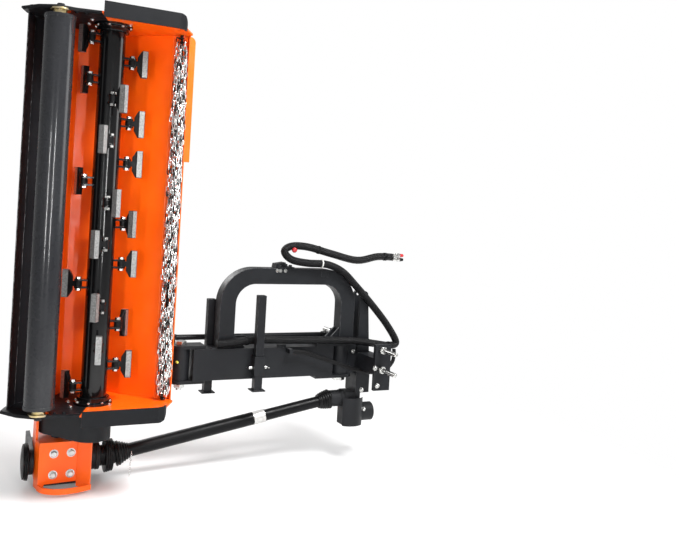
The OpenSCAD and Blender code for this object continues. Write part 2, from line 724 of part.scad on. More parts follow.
// Folded bracket that carries the gearbox and the tilt pivots
module gearbox_bracket() {
    lever = tilt_eye - [tilt_x, tilt_z];
    color(orange) {
        difference() {
            union() {
                block([bracket_x0, bracket_rear, bracket_bot + 30],
                    [bracket_x1 - 60, bracket_rear + 10, z0 - end_t]);
                translate([0, 0, bracket_bot]) linear_extrude(bracket_top - bracket_bot)
                    polygon(strip([[bracket_x1, panel_y], [bracket_x1 - 62, bracket_rear]], -6));
                block([bracket_x1 - 12, head_y - 712, z0 - end_t - 52],
                    [bracket_x1, head_y - 604, z0 - end_t]);
                translate([bracket_x1 - 8, 0, 0]) rotate([90, 0, 90]) linear_extrude(8)
                    polygon([[panel_y, bracket_top], [panel_y, bracket_bot], [panel_y + 20, bracket_bot],
                        [panel_y + 26, bracket_bot + 24], [bracket_front, bracket_bot + 30],
                        [bracket_front, bracket_top]]);
                translate([0, 0, bracket_bot + 6]) linear_extrude(bracket_top - bracket_bot - 6)
                    polygon(strip([[bracket_x1 - 2, wing_y],
                        [bracket_x1 + wing_out, bracket_front - 6]], -7));
                translate([0, 0, bracket_bot]) linear_extrude(24) polygon(strip(smooth(bow_path, 3), 7));
                block([bracket_x0, bracket_front - 10, bracket_bot + 30],
                    [bracket_x1, bracket_front, bracket_top]);
                translate([0, 0, bracket_top - 10]) linear_extrude(10) polygon([[bracket_x0, bracket_rear],
                    [bracket_x1 - 62, bracket_rear], [bracket_x1, panel_y], [bracket_x1, bracket_front],
                    [bracket_x0, bracket_front]]);
                block([bracket_x0, bracket_front - 1, bracket_top - 10],
                    [tilt_x, head_y - 315, bracket_top]);
                block([bracket_x0, head_y - 325, bracket_top - 10], [tilt_x, head_y - 315, z0 - end_t]);
            }
            translate([tilt_x, out_y, bracket_top - 11]) cylinder(r = 36, h = 12);
            along_y(bracket_front - 20, bracket_front + 5, neck_d / 2 + 8, tilt_x, tilt_z);
            for (y = [-36, 36], z = [-46, 46]) {
                along_x(bracket_x1 - 10, bracket_x1 + 2, 8 + fit, out_y + 6 + y, tilt_z + 10 + z);
            }
        }
        along_y(bracket_rear - 24, bracket_rear, 30, tilt_x, tilt_z);
    }
}

// Four bolts that hold the gearbox to the bracket
module bracket_bolts() {
    color(steel) for (y = [-36, 36], z = [-46, 46]) {
        along_x(bracket_x1 - 36, bracket_x1, 8, out_y + 6 + y, tilt_z + 10 + z);
        translate([bracket_x1, out_y + 6 + y, tilt_z + 10 + z]) rotate([0, 90, 0]) {
            cylinder(r = 19, h = 3);
            translate([0, 0, 3]) hex(15, 11);
        }
    }
}

// Bevel gearbox casting with its neck and the tilt lever
module head_gearbox() {
    d = tilt_eye - [tilt_x, tilt_z];
    color(charcoal) difference() {
        union() {
            block([tilt_x - 68, out_y - 85, tilt_z - 85], [bracket_x1 - 8, out_y + 83, tilt_z + 87]);
            along_y(out_y + 80, head_y - 346, neck_d / 2, tilt_x, tilt_z);
            translate([tilt_x, out_y, tilt_z + 80]) cylinder(r = 34, h = 24);
            plate_y(head_y - 368, head_y - 350) difference() {
                union() {
                    translate([tilt_x, tilt_z]) circle(r = neck_d / 2 + 15);
                    polygon([[tilt_x - 30, tilt_z + 30], [tilt_eye[0] - 10, tilt_eye[1] + 17],
                        [tilt_eye[0] + 10, tilt_eye[1] - 17], [tilt_x + 10, tilt_z - 50]]);
                    translate(tilt_eye) circle(r = 20);
                }
                translate(tilt_eye) circle(r = 10);
            }
        }
        along_y(out_y - 30, head_y - 340, stub_d / 2 + fit, tilt_x, tilt_z);
        translate([tilt_x, out_y, tilt_z + 30]) cylinder(r = 16 + fit, h = 100);
        for (y = [-36, 36], z = [-46, 46]) {
            along_x(bracket_x1 - 44, bracket_x1 - 7, 8 + fit, out_y + 6 + y, tilt_z + 10 + z);
        }
    }
}

// Ribbed cap over the rear tilt pivot
module pivot_cap() {
    color(black) translate([tilt_x, bracket_rear - 24, tilt_z]) rotate([90, 0, 0]) rotate_extrude()
        polygon([[0, 0], [76, 0], [82, 2], [82, 6], [77, 8], [80, 10], [80, 14], [74, 16], [76, 18],
            [76, 22], [64, 25],
            [40, 28], [0, 29]]);
}

// Ribbed shield round the input joint
module input_shield() {
    color(black) translate([tilt_x, head_y - 346, tilt_z]) rotate([-90, 0, 0]) rotate_extrude()
        polygon([[25, 0], [46, 0], [46, 21], [77, 21], [77, 26], [72, 28], [76, 30], [76, 35],
            [70.5, 37], [74, 39],
            [74, 44], [69.8, 46], [72, 48], [72, 55], [67.2, 55], [67.2, 44], [68.2, 36], [70, 27],
                [43.2, 27], [43.2, 6],
            [25, 6]]);
}

// Flange bearings of the rotor
module rotor_bearings() {
    color(charcoal) for (s = [0, 1]) {
        translate([rotor_x, rotor_y, s == 0 ? z0 - end_t : z1 + end_t]) mirror([0, 0, 1 - s]) difference() {
            union() {
                cylinder(r = 62, h = 12);
                cylinder(r = 42, h = 32);
            }
            translate([0, 0, -1]) cylinder(r = rotor_shaft_d / 2 + fit, h = 60);
        }
    }
}

// Bearing hubs of the roller, between its ends and the end plates
module roller_hubs() {
    color(charcoal) for (s = [0, 1]) {
        translate([roller_x, roller_y, s == 0 ? z0 : z1]) mirror([0, 0, s]) difference() {
            union() {
                cylinder(r = 40, h = 8);
                cylinder(r = 27, h = hub_l);
            }
            translate([0, 0, -1]) cylinder(r = 15 + fit, h = hub_l + 2);
        }
    }
}

module hammer_at(row, lay) {
    for (k = [0:len(row[1]) - 1]) {
        translate([rotor_x, rotor_y, hammer_z0 - row[1][k] * hammer_pitch]) rotate([0, 0, row[0]])
            translate([pin_circle, 0, 0]) rotate([0, 0, lay * row[2][k]]) children();
    }
}

// Rotor tube with its shaft and the lug pairs
module rotor() {
    color(black) {
        translate([rotor_x, rotor_y, 0]) {
            translate([0, 0, z0 + 14]) cylinder(d = rotor_d, h = cut_w - 28);
            translate([0, 0, pulley_low - 4]) cylinder(d = rotor_shaft_d, h = z1 + end_t + 46 - pulley_low);
        }
        for (row = rows) hammer_at(row, 0) for (s = [-1, 1]) {
            translate([0, 0, s * (hub_gap + lug_t) / 2 - lug_t / 2]) difference() {
                union() {
                    translate([rotor_d / 2 - pin_circle - 6, -18, 0])
                        cube([pin_circle - rotor_d / 2 + 6, 36, lug_t]);
                    cylinder(r = 18, h = lug_t, $fn = 24);
                }
                translate([0, 0, -1]) cylinder(d = hammer_pin_d + 2 * fit, h = lug_t + 2, $fn = 24);
            }
        }
    }
}

// Bolts that carry the hammers
module hammer_pins() {
    half = hub_gap / 2 + lug_t;
    color(steel) for (row = rows) hammer_at(row, 0) {
        translate([0, 0, -half]) cylinder(d = hammer_pin_d, h = 2 * half, $fn = 24);
        translate([0, 0, half]) hex(13, 10);
        translate([0, 0, -half - 10]) hex(13, 10);
    }
}

// Hammers of one row, all on one line of pins, each as it happens to hang
module hammers(row) {
    root = hammer_reach - edge_depth;
    color(steel) hammer_at(row, 1) {
        difference() {
            union() {
                cylinder(r = 16, h = hub_gap - 2 * gap, center = true, $fn = 24);
                translate([0, -edge_t / 2 + 5, -hub_gap / 2 + gap])
                    cube([27, edge_t - 10, hub_gap - 2 * gap]);
            }
            cylinder(d = hammer_pin_d + 2 * fit, h = 40, center = true, $fn = 24);
        }
        translate([0, edge_t / 2 - 5, 0]) rotate([90, 0, 0]) linear_extrude(edge_t - 10)
            polygon([[23.5, -30], [23.5, 30], [root, edge_len / 2], [root, -edge_len / 2]]);
        translate([root, -edge_t / 2, -edge_len / 2]) cube([edge_depth, edge_t, edge_len]);
    }
}

module hammers_a() {
    hammers(rows[0]);
}

module hammers_b() {
    hammers(rows[1]);
}

module hammers_c() {
    hammers(rows[2]);
}

module hammers_d() {
    hammers(rows[3]);
}

// Rear roller with end rings and stub shafts
module roller() {
    color(charcoal) translate([roller_x, roller_y, 0]) {
        translate([0, 0, z0 + hub_l + 4]) cylinder(d = roller_d, h = cut_w - 2 * hub_l - 8, $fn = 64);
        for (z = [z0 + hub_l + 4, z1 - hub_l - 18]) translate([0, 0, z])
            cylinder(d = roller_d + 5, h = 14, $fn = 64);
        translate([0, 0, z0 - end_t - 12]) cylinder(r = 15, h = cut_w + 2 * end_t + 24);
    }
}

module pulley(d, low) {
    translate([0, 0, low]) {
        cylinder(d = d - 14, h = pulley_w);
        cylinder(d = d, h = 7);
        translate([0, 0, pulley_w - 7]) cylinder(d = d, h = 7);
    }
}

module driven_pulley() {
    color(charcoal) difference() {
        translate([rotor_x, rotor_y, 0]) pulley(driven_pulley_d, pulley_low);
        translate([rotor_x, rotor_y, pulley_low - 1])
            cylinder(r = rotor_shaft_d / 2 + fit, h = pulley_w + 2);
    }
}

// Drive pulley on the gearbox output shaft
module drive_pulley() {
    color(charcoal) translate([tilt_x, out_y, 0]) {
        pulley(drive_pulley_d, pulley_low);
        translate([0, 0, tilt_z + 34]) cylinder(r = 16, h = pulley_low - tilt_z - 33);
    }
}

// Three belts round both pulleys
module drive_belts() {
    color(black) for (i = [0:2]) {
        low = pulley_low + 11 + i * (pulley_w - 20) / 3;
        difference() {
            belt_hull(1, low, low + 17);
            belt_hull(-7 + gap, low - 1, low + 18);
        }
    }
}

// Input half of the second wide angle joint
module head_joint() {
    color(steel) translate(joint_b) rotate([-90, 0, 0])
        bell(ball_d / 2 + gap, 42, -52, out_y - joint_b[1] - 28, stub_d / 2);
}

module boot(flip, wide) {
    mirror([0, 0, flip]) rotate_extrude()
        polygon([[17 + fit, boot_l], [17 + fit, 62], [26, 62], [30 + wide / 2, 36], [36 + wide, 27],
            [43.8 + wide, 12],
            [43.8 + wide, 8], [48 + wide, 8], [50 + wide, 10], [50 + wide, 15], [45 + wide, 18],
                [48 + wide, 21],
            [48 + wide, 27], [43 + wide, 30], [46 + wide / 2, 33], [46 + wide / 2, 39], [40 + wide / 2, 42],
            [43 + wide / 4, 45], [43 + wide / 4, 51], [37 + wide / 4, 54], [40, 57], [40, 62],
                [35, 65], [36, boot_l]]);
}

// Guard tube and boot on the hitch side
module guard_tube() {
    color(black) {
        on_shaft(0) boot(0, 0);
        on_shaft(boot_l - 0.1) difference() {
            cylinder(d = guard_in_d, h = 568);
            translate([0, 0, -1]) cylinder(d = guard_in_d - 6, h = 580);
        }
    }
}

// Sliding guard tube and boot on the head side
module guard_sleeve() {
    color(black) {
        on_shaft(shaft_l) boot(1, boot_extra);
        on_shaft(sleeve_s) difference() {
            cylinder(d = guard_d, h = shaft_l - sleeve_s - boot_l + 0.1);
            translate([0, 0, -1]) cylinder(d = guard_in_d + 4 * fit, h = shaft_l);
        }
    }
}

// Inner shaft with the ball of the first joint
module shaft_core() {
    color(steel) {
        translate(joint_a) sphere(d = ball_d);
        on_shaft(20) cylinder(r = 17, h = 80);
        on_shaft(90) cylinder(r = 15, h = 600);
    }
}

// Telescoping shaft with the ball of the second joint
module shaft_tube() {
    color(steel) {
        translate(joint_b) sphere(d = ball_d - 18);
        on_shaft(shaft_l - 100) cylinder(r = 17, h = 90);
        on_shaft(480) difference() {
            cylinder(r = 21, h = shaft_l - 575);
            translate([0, 0, -1]) cylinder(r = 15 + fit, h = 380);
        }
    }
}

// Sleeved bundle of hoses
module hose_bundle() {
    color(black) swept(smooth(bundle_path, 2), bundle_d, 10);
}

// Lower loop of hose
module hose_loop() {
    color(black) swept(smooth(loop_path, 3), hose_d, 8);
}

// Couplers on the free end of the bundle
module hose_couplers() {
    color(steel) for (i = [0:3]) {
        translate([53 + 22 * (i % 2), 150.15 + 0.6 * floor(i / 2), 541 + 22 * floor(i / 2)])
            rotate([-90, 0, 0]) {
            cylinder(r = 7, h = 20);
            translate([0, 0, 20]) hex(10, 14);
            translate([0, 0, 34]) cylinder(r = 9, h = 26);
        }
    }
}

// Clamps that hold the hoses to the beam and the arch
module hose_clamps() {
    color(charcoal) {
        block([30, -470, beam_top], [58, -430, beam_top + 14]);
        block([33, carriage_y + 135, beam_top], [58, carriage_y + 165, beam_top + 5]);
        block([beam_w / 2, -430, beam_top - 25], [beam_w / 2 + 50, -410.9, beam_top - 2]);
        block([arch_s / 2, -250, beam_top + arch_h - 40], [arch_s / 2 + 3, -210, beam_top + arch_h - 5]);
    }
}

// Short chain that stops the guard from turning
module safety_chain() {
    p = joint_b - 80 * shaft_v / shaft_l;
    r = guard_d / 2 + 0.2;
    color(steel) swept(smooth([p + [r, 0, 0], p + [r + 8, -2, -4], p + [r + 13, -6, -50], p + [r + 11,
        -8, -112]], 3),
        8, 8);
}

hitch_frame();
hitch_mast();
link_pins();
drive_gearbox();
gearbox_guard();
input_shaft();
output_joint();
arm_beam();
arm_arch();
arch_gussets();
swing_pin();
carriage_pin();
leg_clamps();
near_leg();
far_leg();
cylinder_pins();
swing_barrel();
swing_rod();
tie_rod();
carriage_frame();
tilt_barrel();
tilt_rod();
hood();
end_plates();
skids();
front_lip();
rear_shield();
chain_rod();
chain_curtain();
belt_cover();
gearbox_bracket();
bracket_bolts();
head_gearbox();
pivot_cap();
input_shield();
rotor_bearings();
roller_hubs();
rotor();
hammer_pins();
hammers_a();
hammers_b();
hammers_c();
hammers_d();
roller();
driven_pulley();
drive_pulley();
drive_belts();
head_joint();
guard_tube();
guard_sleeve();
shaft_core();
shaft_tube();
hose_bundle();
hose_loop();
hose_couplers();
hose_clamps();
safety_chain();
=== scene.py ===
"""Looks of a side-shift flail mower with its cutter head folded up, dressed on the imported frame.

Numbers are sizes in millimetres, as in the part's source, and vectors are in metres, unless a line says
otherwise. MM turns one into the other.
"""

from __future__ import annotations

import json
import logging
import math
from dataclasses import dataclass
from enum import Enum
from typing import Iterable, Optional, Sequence, Union

import bmesh
import bpy
from mathutils import Matrix, Vector
from mathutils.bvhtree import BVHTree
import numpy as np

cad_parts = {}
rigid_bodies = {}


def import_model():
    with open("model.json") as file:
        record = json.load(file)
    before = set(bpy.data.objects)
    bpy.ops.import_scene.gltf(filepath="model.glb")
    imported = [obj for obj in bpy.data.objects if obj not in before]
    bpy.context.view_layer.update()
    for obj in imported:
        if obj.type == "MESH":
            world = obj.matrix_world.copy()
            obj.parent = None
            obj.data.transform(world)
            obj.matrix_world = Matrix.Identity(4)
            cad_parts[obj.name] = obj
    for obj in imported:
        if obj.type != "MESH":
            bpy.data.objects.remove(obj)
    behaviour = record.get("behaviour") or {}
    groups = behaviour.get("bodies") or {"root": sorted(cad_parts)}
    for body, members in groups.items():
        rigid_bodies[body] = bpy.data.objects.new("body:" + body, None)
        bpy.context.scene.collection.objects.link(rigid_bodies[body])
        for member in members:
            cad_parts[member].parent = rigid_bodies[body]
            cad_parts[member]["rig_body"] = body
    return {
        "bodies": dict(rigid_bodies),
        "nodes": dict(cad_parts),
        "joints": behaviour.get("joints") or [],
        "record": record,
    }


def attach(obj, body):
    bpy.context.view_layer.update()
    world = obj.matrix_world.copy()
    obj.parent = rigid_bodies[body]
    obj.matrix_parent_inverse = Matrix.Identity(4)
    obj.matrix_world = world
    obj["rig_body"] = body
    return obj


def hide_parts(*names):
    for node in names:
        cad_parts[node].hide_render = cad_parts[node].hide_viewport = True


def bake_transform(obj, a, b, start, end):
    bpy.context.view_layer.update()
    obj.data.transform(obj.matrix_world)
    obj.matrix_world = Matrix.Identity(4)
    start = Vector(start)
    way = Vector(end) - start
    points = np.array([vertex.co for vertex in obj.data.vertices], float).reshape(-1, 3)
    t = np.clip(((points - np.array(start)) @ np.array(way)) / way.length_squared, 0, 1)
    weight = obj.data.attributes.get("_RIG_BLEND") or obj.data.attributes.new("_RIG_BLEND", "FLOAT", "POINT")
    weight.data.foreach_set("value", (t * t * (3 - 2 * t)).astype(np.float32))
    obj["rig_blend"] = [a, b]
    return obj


MM = 0.001
LOG = logging.getLogger("mower")
PLUS_X, PLUS_Y, PLUS_Z = Vector((1, 0, 0)), Vector((0, 1, 0)), Vector((0, 0, 1))
MINUS_X, MINUS_Z = Vector((-1, 0, 0)), Vector((0, 0, -1))
MERGE_DIST = 1e-6
UV_PER_MM, UV_PER_METRE = 0.1, 100

CLOUD_BAND = (0.35, 0.65)
SPECK_SCALE, SPECK_BAND = 420.0, (0.73, 0.78)
# Noise that breaks up the highlight painted on rounded edges.
EDGE_HIGHLIGHT_SCALE, EDGE_HIGHLIGHT_BAND = 60.0, (0.4, 0.7)
SMEAR_SCALE, SMEAR_BAND = 28.0, (0.3, 0.7)
COAT_ROUGHNESS = 0.08
WHITE = (1.0, 1.0, 1.0, 1.0)
BUMP_GAIN, BUMP_DEPTH = 4, 0.006
BRAID_TURNS, BRAID_DISTORTION = (0.8, -0.8), 0.6
BRUSH_STRETCH = (1.0, 1.0, 0.06)

Colour = tuple[float, float, float]
Point = tuple[float, float, float]
Spot = tuple[float, float]
BMesh = bmesh.types.BMesh
Node, Socket = bpy.types.Node, bpy.types.NodeSocket
Inputs = dict[Union[str, int], object]


class Grain(Enum):
    """The small-scale form of a surface."""

    PEEL = "peel"
    CAST = "cast"
    BRUSHED = "brushed"
    BRAID = "braid"
    MOULDED = "moulded"


class Plane(Enum):
    """The plane that a flat outline is drawn in; the plate is drawn out along the third axis."""

    XY = "xy"
    YZ = "yz"


@dataclass
class Graph:
    """A node tree, with short ways to add the nodes that the materials share."""

    tree: bpy.types.NodeTree

    def fill(self, node: Node, inputs: Inputs) -> Node:
        """Links or sets the inputs of a node.

        Args:
            node: The node.
            inputs: A socket to link or a value, by the input's name or number.

        Returns:
            The node.
        """
        for name, value in inputs.items():
            if isinstance(value, Socket):
                self.tree.links.new(value, node.inputs[name])
            else:
                node.inputs[name].default_value = value
        return node

    def add(self, kind: str, inputs: Inputs, **settings: str) -> Node:
        """Adds a node.

        Args:
            kind: Its type, without the prefix of shader nodes.
            inputs: As for fill.
            settings: Values of its properties.

        Returns:
            The node.
        """
        node = self.tree.nodes.new(f"ShaderNode{kind}")
        for name, value in settings.items():
            setattr(node, name, value)
        return self.fill(node, inputs)

    def noise(self, where: Socket, scale: float, detail: float) -> Socket:
        """A noise of that scale per metre."""
        return self.add("TexNoise", {"Vector": where, "Scale": scale, "Detail": detail}).outputs["Fac"]

    def stretch(self, value: Socket, band: Spot, to: Spot = (0.0, 1.0)) -> Socket:
        """A value stretched from one band to another."""
        names = ("Value", "From Min", "From Max", "To Min", "To Max")
        return self.add("MapRange", dict(zip(names, (value, *band, *to)))).outputs["Result"]

    def mix(self, share: Socket, first: Union[Colour, Socket], second: Colour) -> Socket:
        """A colour or colour socket mixed with a second colour by a share."""
        first = first if isinstance(first, Socket) else (*first, 1.0)
        return self.add("Mix", {"Factor": share, 6: first, 7: (*second, 1.0)}, data_type="RGBA").outputs[2]

    def reckon(self, operation: str, first: Socket, second: Socket) -> Socket:
        """Two values joined by an operation."""
        return self.add("Math", {0: first, 1: second}, operation=operation).outputs[0]

    def surface(self, output: str, share: Socket, first: Socket, second: Socket) -> None:
        """Mixes two shaders by a share into the output node of that name."""
        mixed = self.add("MixShader", {0: share, 1: first, 2: second}).outputs[0]
        self.fill(self.tree.nodes[output], {"Surface": mixed})


@dataclass(frozen=True)
class Finish:
    """A surface finish: its colours, its shine and its grain."""

    name: str
    slot: str
    colour: Colour
    shade: Colour
    roughness: float
    spread: float = 0.08
    metallic: float = 0.0
    cloud: float = 5.0
    grain: Grain = Grain.PEEL
    size: float = 700.0
    bump: float = 0.04
    coat: float = 0.0
    shine: float = 0.5
    speck: Optional[Colour] = None
    # A lighter colour painted on the rounded edges as a highlight.
    edge: Optional[Colour] = None

    def material(self) -> bpy.types.Material:
        """Makes the material, or returns it if it is there already.

        Returns:
            The material.
        """
        made = bpy.data.materials.get(self.name)
        if made is not None:
            return made
        made = bpy.data.materials.new(self.name)
        made.use_nodes = True
        graph = Graph(made.node_tree)
        place = graph.add("TexCoord", {}).outputs
        smear = graph.noise(place["Object"], SMEAR_SCALE, 4.0)
        rough = (self.roughness - self.spread, self.roughness + self.spread)
        relief = graph.add("Bump", {
            "Strength": min(1.0, self.bump * BUMP_GAIN),
            "Distance": self.bump * BUMP_DEPTH,
            "Height": self._height(graph, place["UV" if self.grain is Grain.BRAID else "Object"]),
        })
        graph.fill(made.node_tree.nodes["Principled BSDF"], {
            "Base Color": self._colour(graph, place["Object"]),
            "Metallic": self.metallic,
            "Roughness": graph.stretch(smear, SMEAR_BAND, rough),
            "Specular IOR Level": self.shine,
            "Coat Weight": self.coat,
            "Coat Roughness": COAT_ROUGHNESS,
            "Normal": relief.outputs["Normal"],
        })
        return made

    def _colour(self, graph: Graph, where: Socket) -> Socket:
        """The colour with its clouds, specks and the highlight painted on rounded edges.

        Args:
            graph: The material's nodes.
            where: Coordinates of the pattern.

        Returns:
            The colour's socket.
        """
        drift = graph.noise(where, self.cloud, 5.0)
        colour = graph.mix(graph.stretch(drift, CLOUD_BAND), self.colour, self.shade)
        if self.speck is not None:
            dots = graph.noise(where, SPECK_SCALE, 1.0)
            colour = graph.mix(graph.stretch(dots, SPECK_BAND), colour, self.speck)
        # Rounded faces take the edge colour, broken up by noise, as a painted highlight.
        if self.edge is not None:
            rim = graph.add("Attribute", {}, attribute_name="edge")
            highlight_patches = graph.stretch(graph.noise(where, EDGE_HIGHLIGHT_SCALE, 3.0), EDGE_HIGHLIGHT_BAND)
            colour = graph.mix(graph.reckon("MULTIPLY", rim.outputs["Fac"], highlight_patches), colour, self.edge)
        return colour

    def _height(self, graph: Graph, where: Socket) -> Socket:
        """The height field of the grain.

        Args:
            graph: The material's nodes.
            where: Coordinates of the grain.

        Returns:
            The height's socket.
        """
        if self.grain is Grain.BRAID:
            return graph.reckon("MAXIMUM", *(self._strand(graph, where, turn) for turn in BRAID_TURNS))
        if self.grain is Grain.CAST:
            return graph.add("TexVoronoi", {"Vector": where, "Scale": self.size}).outputs["Distance"]
        if self.grain is Grain.BRUSHED:
            lay = graph.add("Mapping", {"Vector": where, "Scale": BRUSH_STRETCH})
            return graph.noise(lay.outputs["Vector"], self.size, 3.0)
        return graph.noise(where, self.size, 2.0 if self.grain is Grain.PEEL else 6.0)

    def _strand(self, graph: Graph, where: Socket, turn: float) -> Socket:
        """The strands of a braid that run one way.

        Args:
            graph: The material's nodes.
            where: Coordinates of the braid.
            turn: The way that they run, in radians.

        Returns:
            The socket of their height.
        """
        lay = graph.add("Mapping", {"Vector": where, "Rotation": (0.0, 0.0, turn)}).outputs["Vector"]
        wave = {"Vector": lay, "Scale": self.size, "Distortion": BRAID_DISTORTION}
        return graph.add("TexWave", wave).outputs["Fac"]


# The edge colour of each finish is a highlight painted on its rounded edges.
ORANGE = Finish(
    "orange_powder_coat", "orange_paint", (0.98, 0.130, 0.003), (0.92, 0.104, 0.002), 0.36,
    speck=(0.98, 0.20, 0.03), coat=0.03, shine=0.35, edge=(1.0, 0.24, 0.03),
)
CHARCOAL = Finish(
    "charcoal_powder_coat", "charcoal_paint", (0.0120, 0.0130, 0.0148), (0.0085, 0.0090, 0.0105), 0.42,
    speck=(0.03, 0.03, 0.03), coat=0.03, shine=0.16, edge=(0.060, 0.063, 0.067),
)
SLATE = Finish(
    "slate_powder_coat", "charcoal_paint", (0.0075, 0.0080, 0.0095), (0.0055, 0.0060, 0.0070), 0.5,
    speck=(0.03, 0.03, 0.03), shine=0.14, edge=(0.040, 0.042, 0.045),
)
# Its pale edge colour paints the bright highlight along the shield's folded edges.
SHIELD = Finish(
    "shield_powder_coat", "charcoal_paint", (0.010, 0.010, 0.0115), (0.007, 0.007, 0.0085), 0.46,
    speck=(0.04, 0.04, 0.04), shine=0.16, edge=(0.34, 0.35, 0.36),
)
ROLLER_GREY = Finish(
    "roller_gloss_grey", "charcoal_paint", (0.0170, 0.0178, 0.0200), (0.0130, 0.0136, 0.0158), 0.28,
    spread=0.03, coat=0.4, bump=0.004, shine=0.14, edge=(0.05, 0.05, 0.05),
)
ROTOR_BLACK = Finish(
    "rotor_gloss_black", "black_paint", (0.0030, 0.0030, 0.0034), (0.0020, 0.0020, 0.0023), 0.22, spread=0.04,
    coat=0.5, bump=0.004, shine=0.12, edge=(0.03, 0.03, 0.03),
)
CAST_GREY = Finish(
    "gearbox_casting", "grey_casting", (0.016, 0.0165, 0.018), (0.011, 0.0115, 0.0125), 0.5, grain=Grain.CAST,
    size=320.0, bump=0.08, shine=0.16, edge=(0.05, 0.05, 0.05),
)
ZINC = Finish(
    "zinc_plate", "bare_steel", (0.62, 0.62, 0.60), (0.48, 0.48, 0.47), 0.26, metallic=1.0, cloud=60.0,
    bump=0.03, edge=(0.8, 0.8, 0.78),
)
YELLOW_ZINC = Finish(
    "yellow_zinc_plate", "bare_steel", (0.62, 0.50, 0.22), (0.50, 0.42, 0.30), 0.3, metallic=1.0, cloud=45.0,
    bump=0.03,
)
BRIGHT = Finish(
    "turned_steel", "bare_steel", (0.66, 0.66, 0.67), (0.54, 0.54, 0.56), 0.2, metallic=1.0,
    grain=Grain.BRUSHED, size=900.0, bump=0.03,
)
CHROME = Finish(
    "chromed_rod", "hard_chrome", (0.72, 0.73, 0.74), (0.66, 0.67, 0.68), 0.1, spread=0.03, metallic=1.0,
    bump=0.01,
)
CHAIN = Finish(
    "chain_zinc", "zinc_chain", (0.86, 0.86, 0.84), (0.68, 0.68, 0.67), 0.22, metallic=0.85, cloud=120.0,
    bump=0.03,
)
# Dark links and rings, painted as the shadow among the bright links of the curtain.
CHAIN_SHADOW = Finish(
    "chain_painted_shadow", "zinc_chain", (0.030, 0.028, 0.027), (0.014, 0.013, 0.012), 0.34, metallic=0.6, cloud=120.0,
    bump=0.03,
)
FORGED = Finish(
    "forged_black", "hammer_steel", (0.0060, 0.0060, 0.0065), (0.0040, 0.0040, 0.0045), 0.38, grain=Grain.CAST,
    size=260.0, bump=0.07, shine=0.12, edge=(0.03, 0.03, 0.03),
)
GROUND = Finish(
    "ground_edge", "hammer_steel", (0.34, 0.34, 0.33), (0.20, 0.20, 0.20), 0.42, metallic=0.7, cloud=150.0,
    grain=Grain.CAST, size=520.0, bump=0.1, speck=(0.75, 0.75, 0.74),
)
SLEEVE = Finish(
    "braided_sleeve", "black_rubber", (0.0050, 0.0050, 0.0055), (0.0028, 0.0028, 0.0032), 0.36,
    grain=Grain.BRAID, size=1.0, bump=0.16, shine=0.14, cloud=24.0,
)
RUBBER = Finish(
    "hose_rubber", "black_rubber", (0.0060, 0.0060, 0.0064), (0.0038, 0.0038, 0.0040), 0.42,
    grain=Grain.MOULDED, size=420.0, bump=0.05, shine=0.14, cloud=30.0,
)
PLASTIC = Finish(
    "guard_plastic", "black_plastic", (0.0050, 0.0050, 0.0055), (0.0032, 0.0032, 0.0036), 0.4,
    grain=Grain.MOULDED, size=520.0, bump=0.04, coat=0.02, shine=0.12, edge=(0.04, 0.04, 0.04),
)
RED_CAP = Finish(
    "red_dust_cap", "black_plastic", (0.40, 0.010, 0.014), (0.28, 0.006, 0.010), 0.32, grain=Grain.MOULDED,
    size=500.0, bump=0.03, coat=0.3,
)
YELLOW_CAP = Finish(
    "yellow_grease_cap", "black_plastic", (0.70, 0.62, 0.08), (0.60, 0.52, 0.06), 0.4, grain=Grain.MOULDED,
    size=500.0, bump=0.03,
)
PALE_TIE = Finish(
    "pale_tie", "black_plastic", (0.55, 0.55, 0.52), (0.45, 0.45, 0.43), 0.45, grain=Grain.MOULDED, size=500.0,
    bump=0.03,
)
SILVER_BAND = Finish(
    "silver_band", "bare_steel", (0.60, 0.60, 0.58), (0.50, 0.49, 0.48), 0.4, metallic=0.6, cloud=90.0,
    bump=0.03,
)
WELD = Finish(
    "painted_weld", "charcoal_paint", (0.0135, 0.0142, 0.0160), (0.0090, 0.0095, 0.0105), 0.4, grain=Grain.CAST,
    size=240.0, bump=0.12, shine=0.2,
)


Parts = tuple[tuple[str, Finish, float], ...]


def mm(x: float, y: float, z: float) -> Vector:
    """A point of the part frame in metres, from millimetres."""
    return Vector((x, y, z)) * MM


def upright(start: Vector, axis: Vector) -> Matrix:
    """The matrix that puts the local Z axis along axis, at start."""
    return Matrix.Translation(start) @ axis.to_track_quat("Z", "Y").to_matrix().to_4x4()


def outward(bm: BMesh) -> None:
    """Turns the faces of a mesh outward."""
    bmesh.ops.recalc_face_normals(bm, faces=bm.faces)


def bar(
    bm: BMesh, start: Vector, end: Vector, radius: float, tip: Optional[float] = None, sides: int = 24,
) -> None:
    """Adds a round bar.

    Args:
        bm: The mesh to add it to.
        start: Middle of its first end.
        end: Middle of its other end.
        radius: Its radius.
        tip: The radius at the other end where the bar tapers.
        sides: Faces round it.
    """
    axis = end - start
    bmesh.ops.create_cone(
        bm, cap_ends=True, segments=sides, radius1=radius * MM, radius2=(radius if tip is None else tip) * MM,
        depth=axis.length, matrix=upright((start + end) / 2, axis),
    )


def turned(bm: BMesh, profile: Sequence[Spot], start: Vector, axis: Vector, steps: int = 40) -> None:
    """Adds a turned form.

    Args:
        bm: The mesh to add it to.
        profile: Radius and height of each corner, from axis to axis.
        start: The point where the height is 0.
        axis: The way the height runs.
        steps: Faces round it.
    """
    place = upright(start, axis)
    corners = [bm.verts.new(place @ mm(radius, 0, height)) for radius, height in profile]
    lines = [bm.edges.new(pair) for pair in zip(corners, corners[1:])]
    bmesh.ops.spin(
        bm, geom=corners + lines, cent=start, axis=axis.normalized(), angle=math.tau, steps=steps,
        use_merge=True,
    )
    bmesh.ops.remove_doubles(bm, verts=bm.verts, dist=MERGE_DIST)


